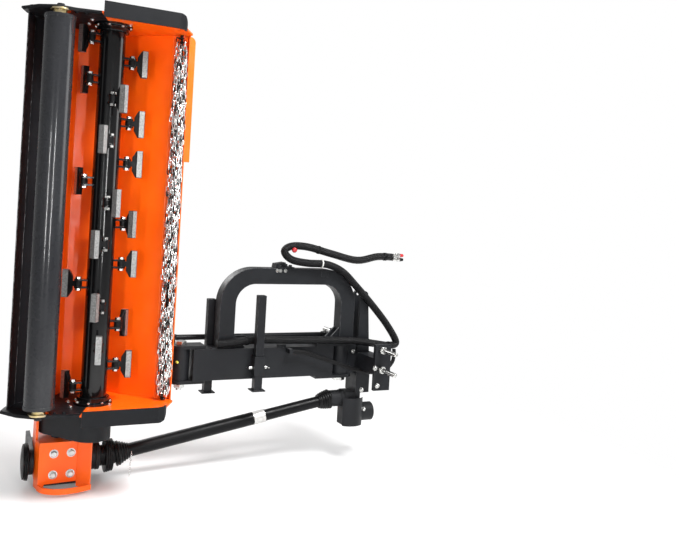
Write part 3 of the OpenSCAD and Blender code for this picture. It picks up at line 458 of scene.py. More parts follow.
def plate(bm: BMesh, outline: Sequence[Spot], plane: Plane, low: float, high: float) -> None:
    """Adds a flat plate.

    Args:
        bm: The mesh to add it to.
        outline: Its corners in the plane.
        plane: The plane of the outline.
        low: Where it starts along the third axis.
        high: Where it ends.
    """
    def at(u: float, v: float, w: float) -> Vector:
        """A point of the plate, from its place in the plane and along the third axis."""
        return mm(u, v, w) if plane is Plane.XY else mm(w, u, v)

    face = bm.faces.new([bm.verts.new(at(u, v, low)) for u, v in outline])
    grown = bmesh.ops.extrude_face_region(bm, geom=[face])["geom"]
    far = [g for g in grown if isinstance(g, bmesh.types.BMVert)]
    bmesh.ops.translate(bm, verts=far, vec=at(0, 0, high) - at(0, 0, low))


def hex_bolt(bm: BMesh, seat: Vector, axis: Vector, radius: float, washer: bool = True) -> None:
    """Adds the head of a hexagon bolt on its washer.

    Args:
        bm: The mesh to add it to.
        seat: Where it sits.
        axis: The way it points.
        radius: Corner radius of the hexagon.
        washer: Whether a washer lies under it.
    """
    axis = axis.normalized()
    foot = 0.0
    if washer:
        foot = radius * 0.2
        bar(bm, seat - axis * 0.4 * MM, seat + axis * foot * MM, radius * 1.35, sides=20)
    neck, top = foot + radius * 0.62, foot + radius * 0.8
    bar(bm, seat + axis * (foot - 0.3) * MM, seat + axis * neck * MM, radius, sides=6)
    bar(bm, seat + axis * (neck - 0.1) * MM, seat + axis * top * MM, radius, radius * 0.78, sides=6)


def link_form(length: float, width: float, wire: float, ring: int = 5, steps: int = 4) -> bpy.types.Mesh:
    """One closed chain link, long along Z and flat across X.

    Args:
        length: Outer length.
        width: Outer width.
        wire: Wire diameter.
        ring: Faces round the wire.
        steps: Faces round each end.

    Returns:
        A mesh to copy from.
    """
    bm = bmesh.new()
    reach, straight = (width - wire) / 2 * MM, (length - width) * MM
    bmesh.ops.create_circle(
        bm, cap_ends=False, segments=ring, radius=wire / 2 * MM,
        matrix=Matrix.Translation((reach, 0, -straight / 2)),
    )
    loop = list(bm.edges)
    for side in (1, -1):
        grown = bmesh.ops.extrude_edge_only(bm, edges=loop)["geom"]
        rim = [g for g in grown if isinstance(g, bmesh.types.BMVert)]
        bmesh.ops.translate(bm, verts=rim, vec=(0, 0, side * straight))
        loop = [g for g in grown if isinstance(g, bmesh.types.BMEdge)]
        turn = bmesh.ops.spin(
            bm, geom=rim + loop, cent=(0, 0, side * straight / 2), axis=(0, -1, 0), angle=math.pi, steps=steps,
            use_merge=False,
        )["geom_last"]
        loop = [g for g in turn if isinstance(g, bmesh.types.BMEdge)]
    bmesh.ops.remove_doubles(bm, verts=bm.verts, dist=MERGE_DIST)
    outward(bm)
    mesh = bpy.data.meshes.new("link_form")
    bm.to_mesh(mesh)
    bm.free()
    return mesh


def place_link(
    bm: BMesh, form: bpy.types.Mesh, middle: Vector, along: Vector, across: Vector, shadow_index: int = 0,
) -> None:
    """Adds one link.

    Args:
        bm: The mesh to add it to.
        form: The link to copy.
        middle: Its middle.
        along: The way its length runs.
        across: The way its flat side faces.
        shadow_index: The number of its finish; 1 is the dark finish painted as shadow among the links.
    """
    first, start = len(bm.verts), len(bm.faces)
    bm.from_mesh(form)
    bm.verts.ensure_lookup_table()
    bm.faces.ensure_lookup_table()
    for face in bm.faces[start:]:
        face.material_index = shadow_index
    side = across.cross(along).normalized()
    front = along.cross(side).normalized()
    pose = Matrix((side, front, along.normalized())).transposed().to_4x4()
    pose.translation = middle
    bmesh.ops.transform(bm, matrix=pose, verts=bm.verts[first:])


def spline(points: Sequence[Point], steps: int) -> list[Vector]:
    """A smooth run through points.

    Args:
        points: The points of the route.
        steps: Parts that each stretch is cut into.

    Returns:
        Points of the run.
    """
    run: list[Vector] = []
    held = [mm(*p) for p in points]
    last = len(held) - 1
    for i in range(last):
        a, b, c, d = held[max(i - 1, 0)], held[i], held[i + 1], held[min(i + 2, last)]
        pull, bend, curl = c - a, 2 * a - 5 * b + 4 * c - d, 3 * b - a - 3 * c + d
        for k in range(steps):
            t = k / steps
            run.append(0.5 * (2 * b + pull * t + bend * t * t + curl * t ** 3))
    return run + [held[-1]]


def run_length(run: Sequence[Vector]) -> float:
    """The length of a run of points in metres."""
    return sum((b - a).length for a, b in zip(run, run[1:]))


def hose_tube(run: Sequence[Vector], radius: float, sides: int, lobes: int = 0, lobe: float = 0.0) -> BMesh:
    """A tube along a run, with a UV map that follows it.

    Args:
        run: Points of its middle line.
        radius: Its radius.
        sides: Faces round it.
        lobes: How many hoses bulge through it.
        lobe: How far they bulge, as a share of the radius.

    Returns:
        The tube's mesh.
    """
    bm = bmesh.new()
    uv = bm.loops.layers.uv.new("UVMap")
    side = Vector((1.0, 0.02, 0.01))
    rings, along = [], [0.0]
    for i, point in enumerate(run):
        way = (run[min(i + 1, len(run) - 1)] - run[max(i - 1, 0)]).normalized()
        side = (side - way * side.dot(way)).normalized()
        place = Matrix((side, way.cross(side), way)).transposed().to_4x4()
        place.translation = point
        made = bmesh.ops.create_circle(bm, cap_ends=False, segments=sides, radius=radius * MM, matrix=place)
        if lobes:
            for v in made["verts"]:
                out = v.co - point
                angle = math.atan2(out.dot(way.cross(side)), out.dot(side))
                v.co = point + out * (1.0 + lobe * (math.cos(lobes * angle) - 1.0) / 2)
        rings.append(made["verts"])
        if i:
            along.append(along[-1] + (point - run[i - 1]).length)
    for i in range(len(rings) - 1):
        edges = [
            e for ring in (rings[i], rings[i + 1]) for e in {e for v in ring for e in v.link_edges}
            if all(v in ring for v in e.verts)
        ]
        spots = {v: (k, j) for j in (i, i + 1) for k, v in enumerate(rings[j])}
        for face in bmesh.ops.bridge_loops(bm, edges=edges)["faces"]:
            around = [spots[corner.vert][0] for corner in face.loops]
            wraps = max(around) - min(around) > sides / 2
            for corner in face.loops:
                k, j = spots[corner.vert]
                turns = (k + (sides if wraps and k < sides / 2 else 0)) / sides
                corner[uv].uv = (turns * math.tau * radius * UV_PER_MM, along[j] * UV_PER_METRE)
    for ring in (rings[0], rings[-1]):
        bm.faces.new(ring)
    outward(bm)
    return bm


@dataclass
class Workshop:
    """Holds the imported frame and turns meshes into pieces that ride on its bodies."""

    frame: dict
    node_merge: float = 2e-5
    flat_angle: float = 0.4
    round_faces: int = 2

    def softened(self, node: str, edge: float, sharp: float = 30.0) -> BMesh:
        """A merged copy of a CAD node with its edges rounded.

        Args:
            node: The node's name.
            edge: Width of the rounding.
            sharp: Edges above this angle are rounded, in degrees.

        Returns:
            The rounded mesh.
        """
        bm = bmesh.new()
        bm.from_mesh(self.frame["nodes"][node].data)
        bmesh.ops.remove_doubles(bm, verts=bm.verts, dist=self.node_merge)
        bmesh.ops.dissolve_limit(bm, angle_limit=math.radians(self.flat_angle), verts=bm.verts, edges=bm.edges)
        rim = bm.faces.layers.float.new("edge")
        for layer in list(bm.loops.layers.uv.values()):
            bm.loops.layers.uv.remove(layer)
        limit = math.radians(sharp)
        hard = [e for e in bm.edges if len(e.link_faces) == 2 and e.calc_face_angle(0.0) > limit]
        made = bmesh.ops.bevel(
            bm, geom=hard, offset=edge * MM, offset_type="OFFSET", segments=self.round_faces, profile=0.5,
            affect="EDGES", clamp_overlap=True, material=-1, miter_outer="ARC",
        )
        # Marks the rounded faces, where the finishes paint their edge highlight.
        for face in made["faces"]:
            face[rim] = 1.0
        return bm

    def seat(self, node: str, start: Vector, way: Vector) -> Optional[Vector]:
        """Where a line first meets a CAD node.

        Args:
            node: The node's name.
            start: Where the line starts.
            way: The way it runs.

        Returns:
            The point on the node's face, or None where the line misses.
        """
        bm = bmesh.new()
        bm.from_mesh(self.frame["nodes"][node].data)
        point = BVHTree.FromBMesh(bm).ray_cast(start, way.normalized())[0]
        bm.free()
        return point

    def piece(
        self, name: str, bm: BMesh, finishes: Sequence[Finish], body: str, replaces: Iterable[str] = (),
        smooth: float = 38.0, bends: bool = False,
    ) -> bpy.types.Object:
        """Makes a finished piece of a mesh.

        Args:
            name: The piece's name.
            bm: Its mesh, which is freed.
            finishes: Its finishes, by the faces' material numbers.
            body: The body that it rides on.
            replaces: CAD nodes that it stands for.
            smooth: Edges below this angle are shaded smooth, in degrees.
            bends: Whether it bends as the arm swings.

        Returns:
            The piece.
        """
        mesh = bpy.data.meshes.new(name)
        bm.to_mesh(mesh)
        bm.free()
        for finish in finishes:
            mesh.materials.append(finish.material())
        mesh.shade_smooth()
        mesh.set_sharp_from_angle(angle=math.radians(smooth))
        made = bpy.data.objects.new(name, mesh)
        bpy.context.scene.collection.objects.link(made)
        level = made.modifiers.new("flat_faces", "WEIGHTED_NORMAL")
        level.keep_sharp = True
        if bends:
            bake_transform(made, "arm", "headstock", mm(0, -170, 0), mm(0, 10, 0))
        else:
            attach(made, body)
        if replaces:
            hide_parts(*replaces)
        LOG.info("%s: %d faces on %s", name, len(mesh.polygons), body)
        return made

    def show(self, node: str, finish: Finish, edge: float, sharp: float = 30.0) -> None:
        """Shows a CAD node as a copy with rounded edges.

        Args:
            node: The node's name.
            finish: Its finish.
            edge: Width of the rounding.
            sharp: Edges above this angle are rounded, in degrees.
        """
        body = self.frame["nodes"][node]["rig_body"]
        self.piece(f"{node}_shape", self.softened(node, edge, sharp), [finish], body, [node])


@dataclass
class Studio:
    """The camera at the photograph's view, the floor and the soft light.

    A lamp has a name, a place, an aim, a size in metres and a power in watts. The floor's half, middle and
    fade are in metres too.
    """

    width: float = 679.0
    focal: float = 760.0
    centre_drop: float = 54.5
    roll: float = 3.2
    azimuth: float = 64.0
    place: Point = (3582.9, -1892.7, 761.4)
    sensor: float = 36.0
    sky: float = 0.48
    floor_z: float = -520.0
    floor_half: float = 30.0
    floor_grey: tuple[float, ...] = (0.82, 0.82, 0.82, 1.0)
    floor_rough: float = 0.7
    floor_middle: Point = (0.0, 0.9, 0.0)
    fade: Spot = (0.6, 2.6)
    lamps: tuple[tuple[str, Point, Point, Spot, float], ...] = (
        ("key", (2500, 300, 3900), (0, -1200, 500), (1.6, 1.6), 330.0),
        ("strip_left", (3300, -3000, 800), (200, -1500, 800), (0.07, 1.0), 30.0),
        ("strip_mid", (3470, -1150, 820), (200, -1500, 800), (0.05, 1.1), 30.0),
        ("fill", (800, 3200, 1500), (0, -400, 200), (2.0, 2.0), 50.0),
        ("back", (-3200, -1500, 2200), (0, -1000, 400), (2.2, 2.2), 70.0),
    )

    def camera(self) -> None:
        """Sets the camera at the photograph's view."""
        data = bpy.data.cameras.new("camera")
        data.sensor_width = self.sensor
        data.sensor_fit = "HORIZONTAL"
        data.lens = self.sensor * self.focal / self.width
        data.shift_y = -self.centre_drop / self.width
        data.clip_end = 100.0
        made = bpy.data.objects.new("camera", data)
        bpy.context.scene.collection.objects.link(made)
        turn, lean = math.radians(self.azimuth), math.radians(self.roll)
        level = Matrix.Rotation(turn, 4, "Z") @ Matrix.Rotation(math.pi / 2, 4, "X")
        made.matrix_world = Matrix.Translation(mm(*self.place)) @ level @ Matrix.Rotation(lean, 4, "Z")
        bpy.context.scene.camera = made

    def light(self) -> None:
        """Sets the world, which the camera sees as white, and the lamps."""
        world = bpy.data.worlds.new("studio")
        bpy.context.scene.world = world
        world.use_nodes = True
        graph = Graph(world.node_tree)
        seen = graph.add("LightPath", {}).outputs["Is Camera Ray"]
        soft = graph.fill(world.node_tree.nodes["Background"], {"Color": WHITE, "Strength": self.sky})
        white = graph.add("Background", {"Color": WHITE, "Strength": 1.0})
        graph.surface("World Output", seen, soft.outputs[0], white.outputs[0])
        for name, place, aim, size, power in self.lamps:
            lamp = bpy.data.lights.new(name, "AREA")
            lamp.shape = "RECTANGLE"
            lamp.size, lamp.size_y = size
            lamp.energy = power
            made = bpy.data.objects.new(name, lamp)
            bpy.context.scene.collection.objects.link(made)
            made.location = mm(*place)
            made.rotation_euler = (mm(*aim) - mm(*place)).to_track_quat("-Z", "Y").to_euler()
        bpy.context.scene.view_settings.view_transform = "Standard"

    def floor(self) -> None:
        """Lays the pale floor, which fades to white far from the object."""
        bm = bmesh.new()
        level = Matrix.Translation((0, 0, self.floor_z * MM))
        bmesh.ops.create_grid(bm, x_segments=2, y_segments=2, size=self.floor_half, matrix=level)
        mesh = bpy.data.meshes.new("floor")
        bm.to_mesh(mesh)
        bm.free()
        paint = bpy.data.materials.new("pale_floor")
        paint.use_nodes = True
        graph = Graph(paint.node_tree)
        look = {"Base Color": self.floor_grey, "Roughness": self.floor_rough}
        shader = graph.fill(paint.node_tree.nodes["Principled BSDF"], look)
        place = graph.add("TexCoord", {}).outputs["Object"]
        lay = graph.add("Mapping", {"Vector": place, "Location": self.floor_middle}).outputs["Vector"]
        far = graph.add("VectorMath", {0: lay}, operation="LENGTH").outputs["Value"]
        seen = graph.add("LightPath", {}).outputs["Is Camera Ray"]
        share = graph.reckon("MULTIPLY", graph.stretch(far, self.fade), seen)
        white = graph.add("Emission", {"Strength": 1.0})
        graph.surface("Material Output", share, shader.outputs[0], white.outputs[0])
        mesh.materials.append(paint)
        made = bpy.data.objects.new("floor", mesh)
        bpy.context.scene.collection.objects.link(made)


@dataclass
class Hoses:
    """The sleeved hose bundle, the lower loop of hose, the couplers and what holds them."""

    shop: Workshop
    bundle_d: float = 40.0
    hose_d: float = 20.0
    bundle: tuple[Point, ...] = (
        (64, 150, 552), (64, 60, 552), (64, -60, 530), (64, -210, 560), (64, -340, 590), (66, -430, 592),
        (68, -470, 566), (68, -430, 526), (68, -340, 510), (66, -230, 505), (64, -140, 470), (64, -60, 400),
        (64, 50, 292), (70, 140, 190), (76, 196, 100), (82, 150, 84), (86, 60, 96), (86, -60, 114),
        (86, -200, 120), (84, -320, 122), (66, -440, 122), (44, -545, 122), (44, -600, 121), (56, -650, 120),
        (63, -700, 118), (66, -790, 112),
    )
    loop: tuple[Point, ...] = (
        (96, -409.7, 70), (96, -340, 62), (98, -260, 36), (100, -160, 2), (101, -60, -32), (99, 40, -52),
        (96, 120, -44), (92, 168, -6), (88, 180, 34), (80, 183, 63.6),
    )
    coupler: tuple[Spot, ...] = (
        (0, -4), (8, -4), (8, 4), (7, 5), (7, 18), (9.6, 19), (9.6, 33), (8.6, 34), (8.6, 38), (9.4, 39),
        (9.4, 46), (8.2, 47), (8.2, 56), (6.4, 59.5), (4.0, 59.5), (4.0, 52), (0, 52),
    )
    first_coupler: Point = (53, 150.15, 541)
    coupler_pitch: float = 22
    coupler_stagger: float = 0.6
    caps: Point = (64, 188, 552)
    cap: tuple[Spot, ...] = ((0, 0), (13, 0), (13, 12), (10.5, 17), (5, 19), (0, 19.4))
    cap_place: Point = (84, -425, 574)
    cap_way: Point = (1.0, -0.3, 0.1)
    straps: tuple[Spot, ...] = ((0.02, 16), (0.145, 10), (0.352, 7), (0.60, 12), (0.845, 16), (0.91, 12))
    pale_strap: int = 2

    def build(self) -> None:
        couplers = self.couplers()
        run = spline(self.bundle[::-1], 6)
        tube = hose_tube(run, self.bundle_d / 2, 24, lobes=3, lobe=0.12)
        sleeve = self.shop.piece("hose_sleeve", tube, [SLEEVE], "arm", ["hose_bundle"], bends=True)
        low = spline(self.loop, 8)
        tube = hose_tube(low, self.hose_d / 2, 16)
        hose = self.shop.piece("loop_hose", tube, [RUBBER], "arm", ["hose_loop"], bends=True)
        self.ties(spline(self.bundle, 6))
        self.shop.show("hose_clamps", CHARCOAL, 1.0)

    def couplers(self) -> bpy.types.Object:
        """The four quick couplers on the free end.

        Returns:
            The couplers as one piece.
        """
        bm = bmesh.new()
        x, y, z = self.first_coupler
        for row, column in ((0, 0), (0, 1), (1, 0), (1, 1)):
            aside, rise = self.coupler_pitch * column, self.coupler_pitch * row
            turned(bm, self.coupler, mm(x + aside, y + self.coupler_stagger * row, z + rise), PLUS_Y, 20)
        outward(bm)
        caps = mm(*self.caps)
        for face in bm.faces:
            middle = face.calc_center_median()
            cap = 2 if middle.z > caps.z and middle.x > caps.x else 1
            face.material_index = cap if middle.y > caps.y else 0
        return self.shop.piece(
            "quick_couplers", bm, [ZINC, PLASTIC, RED_CAP], "arm", ["hose_couplers"], bends=True,
        )

    def ties(self, run: Sequence[Vector]) -> None:
        """The straps, the pale tie and the red cap on the bundle.

        Args:
            run: Points of the bundle's middle line, from its free end.
        """
        dark, pale, red = bmesh.new(), bmesh.new(), bmesh.new()
        r = self.bundle_d / 2
        for k, (share, wide) in enumerate(self.straps):
            profile = [
                (r - 2, 0), (r + 0.6, 0), (r + 1.2, 1), (r + 1.2, wide - 1), (r + 0.6, wide), (r - 2, wide),
            ]
            i = int(share * (len(run) - 1))
            way = (run[i + 1] - run[i]).normalized()
            turned(pale if k == self.pale_strap else dark, profile, run[i], way, 28)
        turned(red, self.cap, mm(*self.cap_place), Vector(self.cap_way), 28)
        for name, bm, finish in (
            ("hose_straps", dark, PLASTIC), ("pale_hose_tie", pale, PALE_TIE),
            ("red_coupler_cap", red, RED_CAP),
        ):
            outward(bm)
            self.shop.piece(name, bm, [finish], "arm", bends=name == "hose_straps")


@dataclass
class ChainCurtain:
    """The chains that hang from the rod along the front of the hood."""

    shop: Workshop
    rod_x: float = 150.0
    rod_y: float = -1062.0
    low: float = -112.0
    high: float = 1520.0
    pitch: float = 17.0
    tabs: Spot = (982.0, 422.0)
    tab_room: float = 11.0
    ring: Point = (36.0, 24.0, 4.6)
    ring_reach: float = 7.5
    link: Point = (30.0, 17.0, 5.2)
    slack: float = 0.6
    count: int = 7
    fans: tuple[float, ...] = (-78, 34, -28, 66, -54, 8, 48)
    reach: float = 20.5
    sway: float = 1.6
    lean: float = 0.07

    def build(self) -> None:
        """Hangs a chain from each ring on the rod."""
        bm = bmesh.new()
        ring, link = link_form(*self.ring), link_form(*self.link)
        step = self.link[0] - 2 * self.link[2] + self.slack
        for k in range(int((self.high - self.low) / self.pitch) + 1):
            z = self.high - k * self.pitch
            if any(abs(z - tab) < self.tab_room for tab in self.tabs):
                continue
            fan = math.radians(self.fans[k % len(self.fans)])
            out = Vector((math.cos(fan), math.sin(fan), 0))
            side = out.cross(PLUS_Z)
            # The rings on the rod take the dark finish as painted shadow.
            place_link(bm, ring, mm(self.rod_x, self.rod_y, z) + out * self.ring_reach * MM, out, PLUS_Z, 1)
            for j in range(min(self.count - k % 2, int((z - self.low - 6) / step))):
                drift = self.reach + (0.9 + 0.5 * (k % 3)) * j
                sway = self.sway * math.sin(1.9 * k + 0.8 * j)
                hang = mm(self.rod_x, self.rod_y, z - 9 - step * j)
                twist = math.radians(45 + 90 * (j % 2) + 14 * math.sin(2.3 * k + j))
                lean = Vector((self.lean * math.cos(fan + k), self.lean * math.sin(fan + 2 * k), 1.0))
                face = Vector((math.cos(fan + twist), math.sin(fan + twist), 0))
                # About one link in five takes the dark finish as painted shadow between the bright ones.
                shadow_index = 1 if (2 * j + k) % 5 == 0 else 0
                place_link(bm, link, hang + out * drift * MM + side * sway * MM, lean.normalized(), face, shadow_index)
        self.shop.piece("chain_links", bm, [CHAIN, CHAIN_SHADOW], "curtain", ["chain_curtain"], smooth=70.0)
        self.shop.show("chain_rod", ROTOR_BLACK, 1.0)


@dataclass
class CutterHead:
    """The hood with its end plates, skids, liner, roller and shields."""

    shop: Workshop
    head_y: float = -950.0
    low: float = -120.0
    high: float = 1536.0
    end_t: float = 8.0
    seams: tuple[float, ...] = (974.0, 721.0, 106.0)
    shade_corner: Point = (330, -1440.0, 0)
    shade_way: Point = (0.35, 1.0, 0.0)
    roller_plate: tuple[Spot, ...] = (
        (323, -1440), (317, -1540), (324, -1610), (279, -1678), (200, -1734), (150, -1700), (205, -1600),
        (290, -1480),
    )
    roller_bolts: tuple[Spot, ...] = ((306, -1500), (300, -1535))
    pin: Spot = (140, -1453)
    liner_line: tuple[Spot, ...] = ((-65.0, -323.6), (12.6, -263.3), (105.0, -138.2))
    seam: float = 0.9
    plate_bolts: tuple[tuple[float, float, float, tuple[Spot, ...]], ...] = (
        (0, 1, 9.0, ((140, -1690), (210, -1700), (250, -1640), (140, -1130), (178, -1240))),
        (8, 1, 9.0, ((280, -1150), (280, -1380))),
        (12, 1, 7.0, ((98, -1325), (172, -1325), (98, -1399), (172, -1399))),
        (-8, -1, 7.0, ((95, -1300), (190, -1300), (95, -1460), (190, -1460))),
    )

    def build(self) -> None:
        """Makes the head's sheets and its roller."""
        show = self.shop.show
        show("hood", ORANGE, 2.0, 14.0)
        self.end_plates()
        show("front_lip", ORANGE, 2.2)
        show("rear_shield", SHIELD, 1.2, 14.0)
        show("skids", SLATE, 1.6, 14.0)
        show("roller", ROLLER_GREY, 1.5)
        show("roller_hubs", YELLOW_ZINC, 1.0)
        show("rotor_bearings", CAST_GREY, 2.0)
        show("belt_cover", CHARCOAL, 3.0)
        self.liner()
        self.roller_plates()
        self.bolts()

    def end_plates(self) -> None:
        """The end plates, orange by the rotor; by the roller they are painted dark slate as the shade that
        falls there.
        """
        bm = self.shop.softened("end_plates", 1.5)
        corner, way = mm(*self.shade_corner), Vector(self.shade_way)
        bmesh.ops.bisect_plane(bm, geom=[*bm.verts, *bm.edges, *bm.faces], plane_co=corner, plane_no=way)
        # Faces by the roller take the dark slate finish as painted shade.
        for face in bm.faces:
            if (face.calc_center_median() - corner).dot(way) < 0:
                face.material_index = 1
        self.shop.piece("end_plates_shape", bm, [ORANGE, SLATE], "head", ["end_plates"])

    def roller_plates(self) -> None:
        """The plates that carry the roller, inside the end plates, and the pin on the upper one; the plates are
        painted dark slate as the shade under the end plates.
        """
        bm = bmesh.new()
        for z, up in ((self.high, 1), (self.low, -1)):
            plate(bm, self.roller_plate, Plane.XY, z - 5 * up, z + 1 * up)
            for x, y in self.roller_bolts:
                hex_bolt(bm, mm(x, y, z - 5 * up), Vector((0, 0, -up)), 7.0)
        bar(bm, mm(*self.pin, self.high + 6), mm(*self.pin, self.high + 41), 5.0, 3.0, 12)
        outward(bm)
        self.shop.piece("roller_plates", bm, [SLATE], "head")

    def liner(self) -> None:
        """The wear sheets inside the hood, in four lengths with thin seams between them."""
        bm = bmesh.new()
        line = [(x + 0.2, y + self.head_y - 0.2) for x, y in self.liner_line]
        back = [(x + 1.4, y + self.head_y - 1.2) for x, y in reversed(self.liner_line)]
        cuts = [self.high - 2, *self.seams, self.low + 2]
        for top, bottom in zip(cuts, cuts[1:]):
            plate(bm, line + back, Plane.XY, bottom + self.seam, top - self.seam)
        outward(bm)
        self.shop.piece("wear_liner", bm, [ORANGE], "head")

    def bolts(self) -> None:
        """Bolt heads on the end plates, the skids and the belt cover."""
        bm = bmesh.new()
        for z, up in ((self.high + self.end_t, 1), (self.low - self.end_t, -1)):
            for rise, way, radius, spots in self.plate_bolts:
                for x, y in spots:
                    hex_bolt(bm, mm(x, y, z + rise * up), Vector((0, 0, way * up)), radius)
        self.shop.piece("plate_bolts", bm, [ZINC], "head")


@dataclass
class Rotor:
    """The rotor tube with its lugs, hammers and hammer bolts."""

    shop: Workshop
    x: float = 135.0
    y: float = -1362.0
    pin_circle: float = 88.0
    root: float = 41.0
    low: float = -120.0
    high: float = 1536.0
    first: float = 1470.0
    pitch: float = 89.0
    rows: tuple[tuple[int, dict[int, float]], ...] = (
        (0, {3: 45, 5: -45, 8: 35, 10: -58, 13: -38, 15: -11}),
        (90, {1: 0, 4: 0, 6: -4, 9: -55, 11: 3, 14: 50, 16: -3}),
        (180, {2: 4, 7: -6, 10: 5, 13: 0}),
        (270, {0: -53, 2: -75, 7: -72, 12: -20, 17: -60}),
    )
    flange: tuple[Spot, ...] = (
        (57, 2), (57, 30), (60, 32), (66, 32), (68, 30), (68, 12), (80, 11), (82, 9), (82, -1), (57, -1),
    )
    bolt_circle: float = 74.5
    bolt_count: int = 8
    bolt_turn: float = 22
    bolt_rise: float = 11

    def build(self) -> None:
        """Makes the rotor and its hammers."""
        self.shop.show("rotor", ROTOR_BLACK, 1.2, 40.0)
        self.shop.show("hammer_pins", ZINC, 1.0)
        self.flanges()
        for letter, (angle, swings) in zip("abcd", self.rows):
            self.hammers(f"hammers_{letter}", angle, swings)

    def around(self, radius: float, turn: float, z: float) -> Vector:
        """A point round the rotor's axis, in metres, at an angle in radians."""
        return mm(self.x + radius * math.cos(turn), self.y + radius * math.sin(turn), z)

    def flanges(self) -> None:
        """The black bearing flanges inside the end plates, with their bolts."""
        dark, bright = bmesh.new(), bmesh.new()
        for z, up in ((self.low, 1), (self.high, -1)):
            turned(dark, self.flange, mm(self.x, self.y, z), Vector((0, 0, up)), 48)
            for k in range(self.bolt_count):
                turn = math.radians(self.bolt_turn + 360 / self.bolt_count * k)
                spot = self.around(self.bolt_circle, turn, z + self.bolt_rise * up)
                hex_bolt(bright, spot, Vector((0, 0, up)), 6.5, washer=False)
        outward(dark)
        self.shop.piece("bearing_flanges", dark, [ROTOR_BLACK], "head")
        self.shop.piece("flange_bolts", bright, [ZINC], "head")

    def hammers(self, node: str, angle: float, swings: dict[int, float]) -> None:
        """One row of hammers with ground edges.

        Args:
            node: The row's CAD node.
            angle: Where the row stands round the rotor, in degrees.
            swings: How far each hammer hangs over, in degrees, by its place along the rotor.
        """
        bm = self.shop.softened(node, 2.0, 25.0)
        rim = bm.faces.layers.float["edge"]
        turn = math.radians(angle)
        pin = self.around(self.pin_circle, turn, 0)
        for face in bm.faces:
            middle = face.calc_center_median()
            place = min(swings, key=lambda i: abs(self.first - i * self.pitch - middle.z / MM))
            way = turn + math.radians(swings[place])
            reach = (middle - pin).dot(Vector((math.cos(way), math.sin(way), 0.0)))
            if reach > (self.root + 1.0) * MM and face[rim] < 0.5:
                face.material_index = 1
        self.shop.piece(f"{node}_shape", bm, [FORGED, GROUND], node, [node])


@dataclass
class Drive:
    """The gearboxes, belts, drive shaft and its guards."""

    shop: Workshop
    joint_a: Point = (0, -140, -202)
    joint_b: Point = (-20, -1235, -405)
    guard_d: float = 63.0
    parts: Parts = (
        ("drive_gearbox", CAST_GREY, 2.5), ("gearbox_guard", CHARCOAL, 1.0), ("input_shaft", BRIGHT, 1.2),
        ("output_joint", CAST_GREY, 1.5), ("gearbox_bracket", ORANGE, 1.6), ("head_gearbox", CAST_GREY, 3.0),
        ("pivot_cap", PLASTIC, 0.8), ("input_shield", PLASTIC, 0.8), ("head_joint", CAST_GREY, 1.5),
        ("guard_tube", PLASTIC, 0.8), ("guard_sleeve", PLASTIC, 0.8), ("shaft_core", BRIGHT, 1.0),
        ("shaft_tube", BRIGHT, 1.0), ("driven_pulley", CAST_GREY, 1.0), ("drive_pulley", CAST_GREY, 1.0),
        ("drive_belts", RUBBER, 0.8),
    )
    bracket_x: float = 80
    bracket_spots: tuple[Spot, ...] = ((-1505, -441), (-1505, -349), (-1433, -441), (-1433, -349))
    band_at: float = 369
    band_w: float = 60
    chain_back: float = 80
    chain_link: Point = (15.0, 8.0, 2.2)
    chain_pitch: float = 10.4
    chain_end: float = 7.0

    def build(self) -> None:
        """Makes the drive line."""
        for node, finish, edge in self.parts:
            self.shop.show(node, finish, edge)
        self.bracket_bolts()
        self.band()
        self.stop_chain()

    def bracket_bolts(self) -> None:
        """The four big bolts of the bracket."""
        bm = bmesh.new()
        for spot in self.bracket_spots:
            hex_bolt(bm, mm(self.bracket_x, *spot), PLUS_X, 14.0)
        self.shop.piece("gearbox_bolts", bm, [ZINC], "head", ["bracket_bolts"])

    def band(self) -> None:
        """The bare silver band round the shaft guard."""
        bm = bmesh.new()
        start = mm(*self.joint_a)
        way = (mm(*self.joint_b) - start).normalized()
        r = self.guard_d / 2
        profile = [(r - 1, 0), (r + 0.5, 0), (r + 0.5, self.band_w), (r - 1, self.band_w)]
        turned(bm, profile, start + way * self.band_at * MM, way, 48)
        outward(bm)
        self.shop.piece("guard_band", bm, [SILVER_BAND], "sleeve")

    def stop_chain(self) -> None:
        """The short chain that stops the guard from turning."""
        start, end = mm(*self.joint_a), mm(*self.joint_b)
        root = end - (end - start).normalized() * self.chain_back * MM
        r = self.guard_d / 2 + 0.2
        bends = ((r, 0, 0), (r + 8, -2, -4), (r + 13, -6, -50), (r + 11, -8, -112))
        run = spline([tuple(root / MM + Vector(bend)) for bend in bends], 8)
        bm = bmesh.new()
        form = link_form(*self.chain_link)
        total = run_length(run)
        span = total / MM - 2 * self.chain_end
        count = round(span / self.chain_pitch)
        for k in range(count + 1):
            left = (self.chain_end + k * span / count) * MM
            for a, b in zip(run, run[1:]):
                if left <= (b - a).length:
                    way = (b - a).normalized()
                    across = Vector((1, 0, 0.2)) if k % 2 else Vector((0, 1, 0.2))
                    place_link(bm, form, a + way * left, way, across)
                    break
                left -= (b - a).length
        chain = self.shop.piece("stop_chain", bm, [CHAIN], "sleeve", ["safety_chain"], smooth=70.0)


